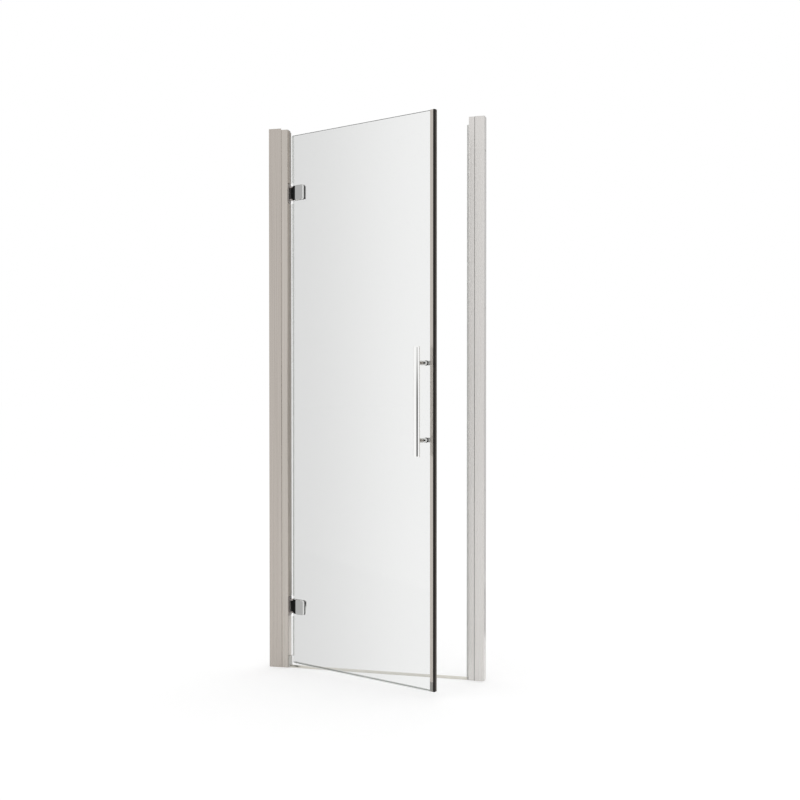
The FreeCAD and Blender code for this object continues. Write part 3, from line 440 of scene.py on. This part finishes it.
def easedCopy(name, width):
    bpy.ops.object.select_all(action="DESELECT")
    piece = nodes[name].copy()
    piece.data = nodes[name].data.copy()
    piece.parent = None
    for key in list(piece.keys()):
        del piece[key]
    bpy.context.scene.collection.objects.link(piece)
    choose(piece)
    bpy.ops.mesh.customdata_custom_splitnormals_clear()
    piece.matrix_world = Matrix.Scale(1 / mm, 4)
    bpy.ops.object.transform_apply()
    mergeFlat(piece)
    if name in sawnProfiles:  # round along their length, with sharp ends and holes
        roundEdges(piece, width, 2, lambda at, way: near(abs(way.z), 1), longEdge, bevelAngle["blunt"])
    else:
        soften(piece, width, "blunt")
    putInPlace(piece, name + "_eased", rowPlace, name, "profile")


for name, width in easedEdges.items():
    easedCopy(name, width)
print("profiles eased,", len(easedEdges))


# glass, with its edges arrised and its notches round in the corners

pane = {"start": 5, "end": 601.15, "half": 3, "foot": 16.5, "top": 1825.5, "notchStart": -20, "notchReach": 16,
        "notchHalf": 26, "notchRadius": 5, "notchSegments": 6, "arris": 1.0, "faceBand": 0.1, "cutHalf": 10,
        "screwAlong": 38.5, "screwSpread": 13, "handleAlong": 574.5, "holeRadius": 6}
hingeLevels = {"lower": 211, "upper": 1628.5}
handleLevels = {"upper": 1041, "lower": 800}


def paneFinish(at):  # 0 for the clear glass, 1 for its ground foot and 2 for its ground top, both darkened as painted shade
    foot, top = pane["foot"] + pane["arris"], pane["top"] - pane["arris"]
    if abs(at.y) >= pane["half"] - pane["faceBand"] or foot < at.z < top:
        return 0
    return 2 if at.z > top else 1


glassPane = startBox((pane["start"], -pane["half"], pane["foot"]), (pane["end"], pane["half"], pane["top"]))
for z in hingeLevels.values():
    notch = startBox((pane["notchStart"], -pane["cutHalf"], z - pane["notchHalf"]),
                     (pane["notchReach"], pane["cutHalf"], z + pane["notchHalf"]))
    roundEdges(notch, pane["notchRadius"], pane["notchSegments"],
               lambda at, way: near(abs(way.y), 1) and near(at.x, pane["notchReach"]))
    carve(glassPane, notch)
soften(glassPane, pane["arris"], segments=1)
holes = [(pane["screwAlong"], z + side * pane["screwSpread"]) for z in hingeLevels.values() for side in (-1, 1)]
holes += [(pane["handleAlong"], z) for z in handleLevels.values()]
for along, z in holes:
    carve(glassPane, startRod(pane["holeRadius"], (along, -pane["cutHalf"], z), (along, pane["cutHalf"], z),
                              "paneHole"))
mergeFlat(glassPane)
shareFinishes(glassPane, (glass, groundEdgeAndShade, groundTopAndShade), paneFinish)
putInPlace(glassPane, "glassPane", doorPlace, "glass_panel", "glass")
print("glass made")


# hinges

leaf = {"start": 12, "frontStart": 22.1, "end": 58.5, "inner": 4, "outer": 10, "half": 25, "freeRadius": 6,
        "freeSegments": 8, "innerRadius": 3, "innerSegments": 6, "bevel": 0.9, "seatDepth": 9}
neckShape = {"end": 11.5, "stepStart": 4, "stepOverlap": 3, "stepInset": 0.5, "edge": 0.4}
gasket = {"start": 16, "inset": 1, "cutHalf": 9, "upstandEnd": 22, "upstandFace": -9.5, "upstandRound": 1.2,
          "upstandSegments": 4}
knuckle = {"half": 18, "barrel": 5.75, "bore": 4.3, "cover": 6.5, "coverInner": 5.8, "coverGap": 0.2,
           "coverTrim": 0.05, "coverCut": 10, "coverEdge": 0.15}
plate = {"back": -10.5, "front": -7.5, "half": 11, "reach": 33, "radius": 3, "segments": 5, "faceRound": 0.8,
         "faceSegments": 3, "earInner": 19, "earOuter": 24, "ear": 6.5, "earRoot": 1, "earEdge": 0.4,
         "bore": 3.05, "screwPlace": 28.5, "seatDepth": 6}
flatScrew = {"head": 3.2, "rim": 0.25, "rimInset": 0.15, "sink": 0.15, "headHeight": 1.8, "shank": 1.95,
             "tipShare": 0.6, "tipLength": 1.5, "length": 11, "leafLength": 18.4, "socket": 1.5,
             "socketDepth": 1.2, "socketTop": 1, "seat": 3.65, "seatFoot": 2.05, "seatRise": 0.02}


def flatHeadScrew(length):  # head at Z 0 looking up, with a six-sided socket
    head, shank = flatScrew["head"], flatScrew["shank"]
    screw = startTurned([(-length, shank * flatScrew["tipShare"]), (-length + flatScrew["tipLength"], shank),
                         (-flatScrew["headHeight"], shank), (-flatScrew["rim"], head),
                         (0, head - flatScrew["rimInset"])], "small")
    return carve(screw, startRod(flatScrew["socket"], (0, 0, -flatScrew["socketDepth"]),
                                 (0, 0, flatScrew["socketTop"]), "socket"))


def screwSet(spots, direction, length):
    return joinUp([aim(flatHeadScrew(length), direction, Vector(at) - direction * flatScrew["sink"])
                   for at in spots])


def sinkSeats(piece, spots, direction, depth):  # the countersunk hole of each screw
    for at in spots:
        seat = startTurned([(-depth, flatScrew["seatFoot"]), (-flatScrew["headHeight"], flatScrew["seatFoot"]),
                            (flatScrew["seatRise"], flatScrew["seat"]), (past, flatScrew["seat"])], "small")
        carve(piece, aim(seat, direction, at))


def leafPlate(side, z):  # side is 1 inside the shower and -1 outside
    low, high = sorted((side * leaf["inner"], side * leaf["outer"]))
    start, outer = leaf["start" if side > 0 else "frontStart"], side * leaf["outer"]
    piece = startBox((start, low, z - leaf["half"]), (leaf["end"], high, z + leaf["half"]))
    roundEdges(piece, leaf["freeRadius"], leaf["freeSegments"],
               lambda at, way: near(abs(way.y), 1) and near(at.x, leaf["end"]))
    roundEdges(piece, leaf["innerRadius"], leaf["innerSegments"],
               lambda at, way: near(abs(way.y), 1) and near(at.x, start))
    roundEdges(piece, leaf["bevel"], 1, lambda at, way: near(at.y, outer) and near(way.y, 0))
    return piece


def rearLeaf(z, spots):  # its neck reaches round to the knuckle on the hinge axis
    low, high = z - knuckle["half"], z + knuckle["half"]
    piece = leafPlate(1, z)
    neck = startBox((0, 0, low), (neckShape["end"], knuckle["barrel"], high))
    stepEnd = leaf["start"] + neckShape["stepOverlap"]
    stepOuter = leaf["outer"] - leaf["bevel"] - neckShape["stepInset"]
    weldOn(neck, startBox((neckShape["stepStart"], leaf["inner"], low), (stepEnd, stepOuter, high)))
    weldOn(neck, startRod(knuckle["barrel"], (0, 0, low), (0, 0, high), "turned"))
    carve(neck, startRod(knuckle["bore"], (0, 0, low - past), (0, 0, high + past)))
    soften(neck, neckShape["edge"], "blunt")
    weldOn(piece, neck)
    sinkSeats(piece, spots, yWay, leaf["seatDepth"])
    return piece


def gasketSheet(side, z):  # between a leaf and the glass, with room for the screws
    reach, cut = leaf["half"] - gasket["inset"], gasket["cutHalf"]
    low, high = sorted((side * pane["half"], side * leaf["inner"]))
    sheet = startBox((gasket["start"], low, z - reach), (leaf["end"] - gasket["inset"], high, z + reach))
    for way in (-1, 1):
        along, height = pane["screwAlong"], z + way * pane["screwSpread"]
        carve(sheet, startRod(pane["holeRadius"], (along, -cut, height), (along, cut, height)))
    if side < 0:  # the front one stands up beside its leaf
        upstand = startBox((leaf["start"], gasket["upstandFace"], z - reach),
                           (gasket["upstandEnd"], -pane["half"], z + reach))
        roundEdges(upstand, gasket["upstandRound"], gasket["upstandSegments"],
                   lambda at, way: near(at.y, gasket["upstandFace"]))
        weldOn(sheet, upstand)
    return sheet


# its black finish is painted shade for the shaded cavity between leaf and wall plate
def knuckleCover(z):  # a thin shell round the knuckle, open towards the leaf
    low, high = z - knuckle["half"], z + knuckle["half"]
    trim, gap, cut = knuckle["coverTrim"], knuckle["coverGap"], knuckle["coverCut"]
    piece = startRod(knuckle["cover"], (0, 0, low + trim), (0, 0, high - trim), "fine")
    carve(piece, startRod(knuckle["coverInner"], (0, 0, low - past), (0, 0, high + past), "fine"))
    carve(piece, startBox((-gap, -gap, low - past), (cut, cut, high + past)))
    soften(piece, knuckle["coverEdge"])
    return piece


def wallPlate(z, spots):  # with an ear above and below the knuckle
    piece = startBox((plate["back"], -plate["half"], z - plate["reach"]),
                     (plate["front"], plate["half"], z + plate["reach"]))
    roundEdges(piece, plate["radius"], plate["segments"], lambda at, way: near(abs(way.x), 1))
    roundEdges(piece, plate["faceRound"], plate["faceSegments"],
               lambda at, way: near(at.x, plate["front"]) and near(way.x, 0))
    for way in (-1, 1):
        low, high = sorted((z + way * plate["earInner"], z + way * plate["earOuter"]))
        ear = startBox((plate["front"] - plate["earRoot"], -plate["ear"], low), (0, plate["ear"], high))
        weldOn(ear, startRod(plate["ear"], (0, 0, low), (0, 0, high), "turned"))
        carve(ear, startRod(plate["bore"], (0, 0, low - past), (0, 0, high + past)))
        soften(ear, plate["earEdge"], "blunt")
        weldOn(piece, ear)
    sinkSeats(piece, spots, xWay, plate["seatDepth"])
    return piece


for name, z in hingeLevels.items():
    leafSpots = [(pane["screwAlong"], leaf["outer"], z + side * pane["screwSpread"]) for side in (-1, 1)]
    plateSpots = [(plate["front"], 0, z + side * plate["screwPlace"]) for side in (-1, 1)]
    putInPlace(leafPlate(-1, z), name + "FrontLeaf", doorPlace, f"{name}_hinge_front_leaf", "hinge")
    putInPlace(joinUp([gasketSheet(-1, z), gasketSheet(1, z)]), name + "HingeGaskets", doorPlace,
               f"{name}_hinge_gaskets", "hinge")
    putInPlace(rearLeaf(z, leafSpots), name + "RearLeaf", doorPlace, f"{name}_hinge_rear_leaf", "hinge")
    putInPlace(screwSet(leafSpots, yWay, flatScrew["leafLength"]), name + "LeafScrews", doorPlace,
               f"{name}_hinge_clamp_screws")
    putInPlace(knuckleCover(z), name + "KnuckleCover", doorPlace, f"{name}_hinge_knuckle_cover", "hinge")
    putInPlace(wallPlate(z, plateSpots), name + "WallPlate", axisPlace, f"{name}_hinge_wall_plate", "hinge")
    putInPlace(screwSet(plateSpots, xWay, flatScrew["length"]), name + "PlateScrews", axisPlace,
               f"{name}_hinge_wall_screws")
print("hinges made")


# handle, a capped tube on two standoffs

handle = {"along": 574.5, "out": -50, "radius": 10.5, "wall": 1.5, "bottom": 749, "top": 1092, "edge": 0.25,
          "cap": 3, "capRound": 1.5, "spigot": 8, "spigotGap": 0.1, "spigotRound": 0.6, "post": 7.5,
          "base": 4.2, "baseRound": 0.4, "saddleGap": 0.05, "saddleHalf": 20, "studHole": 3.1,
          "knobEnd": 20.2, "knobRound": 2, "knobHole": 16.2}
grommet = {"flange": 8, "flangeRound": 0.4, "collar": 5.8, "inner": 0.1, "cutHalf": 9}

along, out, radius, studHole = handle["along"], handle["out"], handle["radius"], handle["studHole"]
capTop, capFoot = handle["top"] - handle["cap"], handle["bottom"] + handle["cap"]
bar = startRod(radius, (along, out, capFoot), (along, out, capTop), "fine")
carve(bar, startRod(radius - handle["wall"], (along, out, handle["bottom"]), (along, out, handle["top"]),
                    "fine"))
soften(bar, handle["edge"])
for z in handleLevels.values():
    carve(bar, startRod(studHole, (along, out, z), (along, out + radius + past, z), "small"))
putInPlace(bar, "handleBar", doorPlace, "handle_bar")

spigot, spigotRound = radius - handle["wall"] - handle["spigotGap"], handle["spigotRound"]
capRings = [(-handle["spigot"], spigot - spigotRound), (spigotRound - handle["spigot"], spigot), (0, spigot),
            (0, radius)] + roundedRim(handle["cap"], radius, handle["capRound"])
caps = [aim(startTurned(capRings, "fine"), zWay, (along, out, capTop)),
        aim(startTurned(capRings, "fine"), -zWay, (along, out, capFoot))]
putInPlace(joinUp(caps), "handleEndCaps", doorPlace, "handle_end_caps")

baseRings = [(handle["base"], handle["post"] - handle["baseRound"]),
             (handle["base"] + handle["baseRound"], handle["post"])]
knobRings = baseRings + roundedRim(handle["knobEnd"], handle["post"], handle["knobRound"])
grommetRings = [(grommet["inner"], grommet["collar"]), (pane["half"], grommet["collar"]),
                (pane["half"], grommet["flange"])]
grommetRings += roundedRim(handle["base"], grommet["flange"], grommet["flangeRound"])
rings = []
for name, z in handleLevels.items():
    post = aim(startTurned(baseRings + [(-out, handle["post"])]), -yWay, (along, 0, z))
    carve(post, startRod(radius + handle["saddleGap"], (along, out, z - handle["saddleHalf"]),
                         (along, out, z + handle["saddleHalf"]), "fine"),
          startRod(studHole, (along, 0, z), (along, out, z), "small"))
    putInPlace(post, name + "Standoff", doorPlace, f"handle_{name}_standoff")
    knob = aim(startTurned(knobRings), yWay, (along, 0, z))
    carve(knob, startRod(studHole, (along, 0, z), (along, handle["knobHole"], z), "small"))
    putInPlace(knob, name + "Knob", doorPlace, f"handle_{name}_knob")
    for direction in (-yWay, yWay):
        ring = aim(startTurned(grommetRings), direction, (along, 0, z))
        carve(ring, startRod(studHole, (along, -grommet["cutHalf"], z), (along, grommet["cutHalf"], z), "small"))
        rings.append(ring)
putInPlace(joinUp(rings), "handleGrommets", doorPlace, "handle_grommets")
print("handle made")


# seals: two ribbed magnetic strips, and clear strips with a soft fin

doorStrip = {"root": 606, "tip": 611, "half": 7, "foot": 16.5, "top": 1825.5, "ribs": (-3.6, 0, 3.6)}
strikeStrip = {"root": 53, "tip": 60.5, "half": 6, "foot": 10.5, "top": 1825.5, "ribs": (-3, 0, 3)}
stripShape = {"wall": 1.3, "corner": 1, "segments": 4, "tongue": 1.3, "tongueDepth": 2.2, "ribWidth": 0.9,
              "ribDepth": 0.4, "tipSlack": 0.05, "paintedLightFrom": 0.2}
sealPast = 5


def magneticStrip(strip):
    root, tip, half, foot, top = (strip[key] for key in ("root", "tip", "half", "foot", "top"))
    wall, ribHalf, ribFloor = stripShape["wall"], stripShape["ribWidth"] / 2, tip - stripShape["ribDepth"]
    piece = startBox((root, -half, foot), (tip, half, top))
    roundEdges(piece, stripShape["corner"], stripShape["segments"],
               lambda at, way: near(abs(way.z), 1) and near(at.x, tip))
    carve(piece, startBox((root + wall, wall - half, foot - sealPast),
                          (tip - wall, half - wall, top + sealPast)))
    for y in strip["ribs"]:
        carve(piece, startBox((ribFloor, y - ribHalf, foot - sealPast),
                              (tip + past, y + ribHalf, top + sealPast)))
    weldOn(piece, startBox((root - stripShape["tongueDepth"], -stripShape["tongue"], foot),
                           (root + wall / 2, stripShape["tongue"], top)))
    return piece


def onPaintedLightRearTip(at):  # the rear half of the door seal's ribbed face is painted paler, as painted light where it catches the light
    tipStart = doorStrip["tip"] - stripShape["ribDepth"] - stripShape["tipSlack"]
    return at.x > tipStart and at.y > stripShape["paintedLightFrom"]


doorSeal = magneticStrip(doorStrip)
shareFinishes(doorSeal, (darkSeal, sealTipPaintedLight), onPaintedLightRearTip)
putInPlace(doorSeal, "doorSealStrip", doorPlace, "door_seal_carrier")
putInPlace(magneticStrip(strikeStrip), "strikeSealStrip", strikePlace, "strike_seal_carrier")

edgeSeal = {"tip": -6.8, "web": 3.75, "inner": 4.95, "end": 8.95, "bulb": 0.8,
            "runs": ((40, 176), (246, 1593.5), (1663.5, 1825.5))}
dripSeal = {"start": 9.95, "end": 593, "foot": 15.25, "inner": 16.45, "top": 20.45, "finFoot": 10.75,
            "bulb": 0.7}
sealLegs = {"outer": 4.05, "inner": 3.05, "fin": 0.4, "rim": 0.35, "overlap": 0.6, "slack": 0.05}
outer, inner, fin = sealLegs["outer"], sealLegs["inner"], sealLegs["fin"]

runs = []
for low, high in edgeSeal["runs"]:
    tip = edgeSeal["tip"] + edgeSeal["bulb"]
    run = startBox((edgeSeal["web"], -outer, low), (edgeSeal["end"], outer, high))
    carve(run, startBox((edgeSeal["inner"], -inner, low - sealPast),
                        (edgeSeal["end"] + sealPast, inner, high + sealPast)))
    soften(run, sealLegs["rim"])
    lip = startBox((tip, -fin, low), (edgeSeal["web"] + sealLegs["overlap"], fin, high))
    weldOn(lip, startRod(edgeSeal["bulb"], (tip, 0, low), (tip, 0, high), "bead"))
    runs.append(weldOn(run, lip))
edgeStrip = joinUp(runs)
finStart, finEnd = edgeSeal["tip"] + 2 * edgeSeal["bulb"], edgeSeal["web"] - sealLegs["slack"]
shareFinishes(edgeStrip, (edgeSealBody, clearSeal), lambda at: finStart < at.x < finEnd)
putInPlace(edgeStrip, "hingeSideSeal", doorPlace, "hinge_side_seal")

drip = startBox((dripSeal["start"], -outer, dripSeal["foot"]), (dripSeal["end"], outer, dripSeal["top"]))
carve(drip, startBox((dripSeal["start"] - sealPast, -inner, dripSeal["inner"]),
                     (dripSeal["end"] + sealPast, inner, dripSeal["top"] + sealPast)))
soften(drip, sealLegs["rim"])
tip = dripSeal["finFoot"] + dripSeal["bulb"]
lip = startBox((dripSeal["start"], -fin, tip), (dripSeal["end"], fin, dripSeal["foot"] + sealLegs["overlap"]))
weldOn(lip, startRod(dripSeal["bulb"], (dripSeal["start"], 0, tip), (dripSeal["end"], 0, tip), "bead"))
weldOn(drip, lip)
shareFinishes(drip, (dripSealBody, clearSeal), lambda at: at.z < dripSeal["foot"] - sealLegs["slack"])
putInPlace(drip, "bottomSeal", doorPlace, "bottom_seal")
print("seals made")


# screws of the sill blocks, and the cross-head screws and washers that hold the width

blockScrews = {"hinge": ((-303, 0, 31), (-303, 0, 18)), "strike": ((318, 6.5, 4.75),)}
putInPlace(joinUp([screwSet(blockScrews["hinge"], xWay, flatScrew["length"]),
                   screwSet(blockScrews["strike"], -xWay, flatScrew["length"])]),
           "sillBlockScrews", rowPlace, "sill_block_screws")

clamp = {"levels": (160, 925, 1690), "along": {"hinge": -345, "strike": 353}, "seat": 17.1, "washer": 5.5,
         "washerHeight": 1, "washerEdge": 0.2, "holeGap": 0.05, "holeEnd": 40, "shank": 2, "tipShare": 0.6,
         "tipLength": 1.5, "length": 12, "head": 3.9, "headHeight": 2.6, "headRound": 1.2, "headSteps": 6,
         "crossLength": 4.4, "crossWidth": 0.9, "crossFloor": 1.2, "crossTop": 5}


def panScrew():
    shank, head, foot, top = clamp["shank"], clamp["head"], clamp["crossFloor"], clamp["crossTop"]
    screwRings = [(-clamp["length"], shank * clamp["tipShare"]), (clamp["tipLength"] - clamp["length"], shank),
                  (0, shank), (0, head)]
    screwRings += roundedRim(clamp["headHeight"], head, clamp["headRound"], clamp["headSteps"])
    screw = startTurned(screwRings, "plain")
    long, wide = clamp["crossLength"] / 2, clamp["crossWidth"] / 2
    cross = weldOn(startBox((-long, -wide, foot), (long, wide, top)),
                   startBox((-wide, -long, foot), (wide, long, top)))
    return carve(screw, cross)


def washer(along, z):
    disc = startRod(clamp["washer"], (along, clamp["seat"], z),
                    (along, clamp["seat"] + clamp["washerHeight"], z))
    carve(disc, startRod(clamp["shank"] + clamp["holeGap"], (along, 0, z), (along, clamp["holeEnd"], z)))
    soften(disc, clamp["washerEdge"])
    return disc


for side, along in clamp["along"].items():
    seat = clamp["seat"] + clamp["washerHeight"]
    screws = joinUp([aim(panScrew(), yWay, (along, seat, z)) for z in clamp["levels"]])
    putInPlace(screws, side + "ClampScrews", rowPlace, f"{side}_side_clamp_screws")
    putInPlace(joinUp([washer(along, z) for z in clamp["levels"]]), side + "ClampWashers", rowPlace,
               f"{side}_side_clamp_washers")
print("screws made")

# black rubber strip on the lip of the strike channel, where the post slides in: painted shade for the shadow in
# the gap between lip and post
gapShadeStrip = {"from": 342.8, "to": 344, "front": -16.8, "back": -15.15, "foot": 0.5, "top": 1849, "round": 0.5,
         "segments": 3}
strip = startBox((gapShadeStrip["from"], gapShadeStrip["front"], gapShadeStrip["foot"]), (gapShadeStrip["to"], gapShadeStrip["back"], gapShadeStrip["top"]))
roundEdges(strip, gapShadeStrip["round"], gapShadeStrip["segments"],
           lambda at, way: near(abs(way.z), 1) and near(at.y, gapShadeStrip["front"]))
settle(strip, "strikeGapShadeStrip", rowPlace, rubber, bodyOf["strike_wall_channel"])
print("wiper made")


# studio: white world, pale floor, soft lamps, and cards that only shiny surfaces or the glass show

studio = {"floorSize": 80.0, "floorLevel": -0.0005, "skyLight": 0.9, "skyShown": 1.0, "floorGlow": 0.425,
          "floorColour": 0.64}
whole = (-0.5, 0.5)  # from one end of a card to the other
leafFacing, paneFade = (0.9145, 0.4047, 0), ((0.125, 0.265), (0.79, 1.0))
cards = {  # centre, direction it faces, turn about that, size, two places across it and the brightness there
    "backFlag": ((0.55, 2.1, 1.0), (-0.25, -1, 0), 0, (1.1, 3.2), whole, (0.4, 0.75)),
    "backFloorCard": ((1.6, 1.0, 0.002), (0, 0, 1), 0, (1.7, 1.3), whole, (0.05, 0.05)),
    "standoffFloorCard": ((0.28, 1.2, 0.002), (0, 0, 1), 0, (0.47, 1.1), whole, (0.05, 0.05)),
    "upperLeafCard": ((-0.585, -0.166, 1.688), leafFacing, 0, (0.12, 0.2), whole, (0.52, 0.52)),
    "lowerLeafCard": ((-0.585, -0.166, 0.142), leafFacing, 0, (0.12, 0.2), whole, (0.52, 0.52)),
    "rightFlag": ((0.988, 0.518, 1.0), (-1, -1, 0), 0, (0.42, 3.2), whole, (0.3, 0.3)),
    "frontFlag": ((1.369, -1.901, 0.88), (-0.578, 0.816, 0), 90, (0.66, 2.1), (0.0, 0.45), (0.15, 0.7))}
glassCards = {  # seen only through the glass: a backdrop and a floor, lighter towards the strike side
    "paneBackdrop": ((-0.9, 0.06, 3.0), (0, -1, 0), 0, (4.2, 6.0), *paneFade),
    "paneFloorSheet": ((-0.9, -0.54, 0.0005), (0, 0, 1), 180, (4.2, 1.2), *paneFade)}
lamps = {  # place, width and height, watts
    "keySoftbox": ((-2.6, -3.4, 3.0), (2.2, 2.2), 12),
    "fillSoftbox": ((3.4, -2.0, 2.4), (2.0, 2.4), 7),
    "backSoftbox": ((0.5, 3.6, 2.6), (2.4, 2.0), 7)}
lampTarget = Vector((0, 0, 0.9))


def byRay(owner, lit, shown, socket):  # one strength for the light on things, another where it is seen
    rays = addNode(owner, "ShaderNodeLightPath")
    seen = rays.outputs["Is Camera Ray"]
    for kind in ("Is Glossy Ray", "Is Transmission Ray"):
        either = addNode(owner, "ShaderNodeMath", operation="MAXIMUM")
        link(owner, seen, either.inputs[0])
        link(owner, rays.outputs[kind], either.inputs[1])
        seen = either.outputs[0]
    link(owner, remapped(owner, seen, (0, 1), (lit, shown)), socket)


def addPlane(name, size, place):
    bpy.ops.object.select_all(action="DESELECT")
    bpy.ops.mesh.primitive_plane_add(size=size, location=place)
    bpy.context.object.name = name
    return bpy.context.object


def addCard(name, throughGlass, centre, facing, turn, size, places, brightness):
    card = addPlane(name, 1, centre)
    card.scale = (*size, 1)
    card.rotation_euler = (Vector(facing).to_track_quat("Z", "Y").to_matrix()
                           @ Matrix.Rotation(math.radians(turn), 3, "Z")).to_euler()
    mat = bpy.data.materials.new(name)
    mat.use_nodes = True
    mat.node_tree.nodes.remove(shaderOf(mat))
    glow = addNode(mat, "ShaderNodeEmission")
    coords = addNode(mat, "ShaderNodeTexCoord")
    split = addNode(mat, "ShaderNodeSeparateXYZ")
    link(mat, coords.outputs["Object"], split.inputs["Vector"])
    fade = remapped(mat, split.outputs["X"], places, brightness, interpolation_type="SMOOTHSTEP")
    link(mat, fade, glow.inputs["Strength"])
    if throughGlass:
        link(mat, glow.outputs["Emission"], mat.node_tree.nodes["Material Output"].inputs["Surface"])
    else:  # the sharp reflection of the glass doesn't show it
        clearFor(mat, "Is Singular Ray", glow.outputs["Emission"])
    card.data.materials.append(mat)
    card.visible_camera = card.visible_diffuse = card.visible_shadow = False
    card.visible_transmission, card.visible_glossy = throughGlass, not throughGlass


world = bpy.data.worlds.new("studioWhite")
bpy.context.scene.world = world
world.use_nodes = True
sky = world.node_tree.nodes["Background"]
sky.inputs["Color"].default_value = (1, 1, 1, 1)
byRay(world, studio["skyLight"], studio["skyShown"], sky.inputs["Strength"])

floor = addPlane("studioFloor", studio["floorSize"], (0, 0, studio["floorLevel"]))
paleFloor = newMaterial("paleFloor", colour=(*[studio["floorColour"]] * 3, 1), rough=1.0, shine=0.0,
                        glowColour=(1, 1, 1, 1))
byRay(paleFloor, 0.0, studio["floorGlow"], shaderOf(paleFloor).inputs["Emission Strength"])
floor.data.materials.append(paleFloor)

for name, card in cards.items():
    addCard(name, False, *card)
for name, card in glassCards.items():
    addCard(name, True, *card)

for name, (place, size, watts) in lamps.items():
    bpy.ops.object.select_all(action="DESELECT")
    bpy.ops.object.light_add(type="AREA", location=place)
    lamp = bpy.context.object
    lamp.name = name
    lamp.data.shape = "RECTANGLE"
    lamp.data.size, lamp.data.size_y = size
    lamp.data.energy = watts
    lamp.rotation_euler = (lampTarget - Vector(place)).to_track_quat("-Z", "Y").to_euler()
    lamp.visible_glossy = False

# camera at the photograph's view
shot = {"place": (1.0732, -3.635, 0.9737), "yaw": 15.192, "dip": 0.787, "roll": -0.002, "focalPixels": 1124.2,
        "pixels": 800, "sensor": 36, "clipEnd": 200}
bpy.ops.object.camera_add(location=shot["place"])
camera = bpy.context.object
turn = (Matrix.Rotation(math.radians(shot["yaw"]), 3, "Z")
        @ Matrix.Rotation(math.radians(90 - shot["dip"]), 3, "X")
        @ Matrix.Rotation(math.radians(shot["roll"]), 3, "Z"))
camera.rotation_euler = turn.to_euler()
camera.data.sensor_width = shot["sensor"]
camera.data.lens = shot["focalPixels"] * shot["sensor"] / shot["pixels"]
camera.data.clip_end = shot["clipEnd"]
bpy.context.scene.camera = camera
bpy.context.scene.view_settings.view_transform = "Standard"
print("studio set")
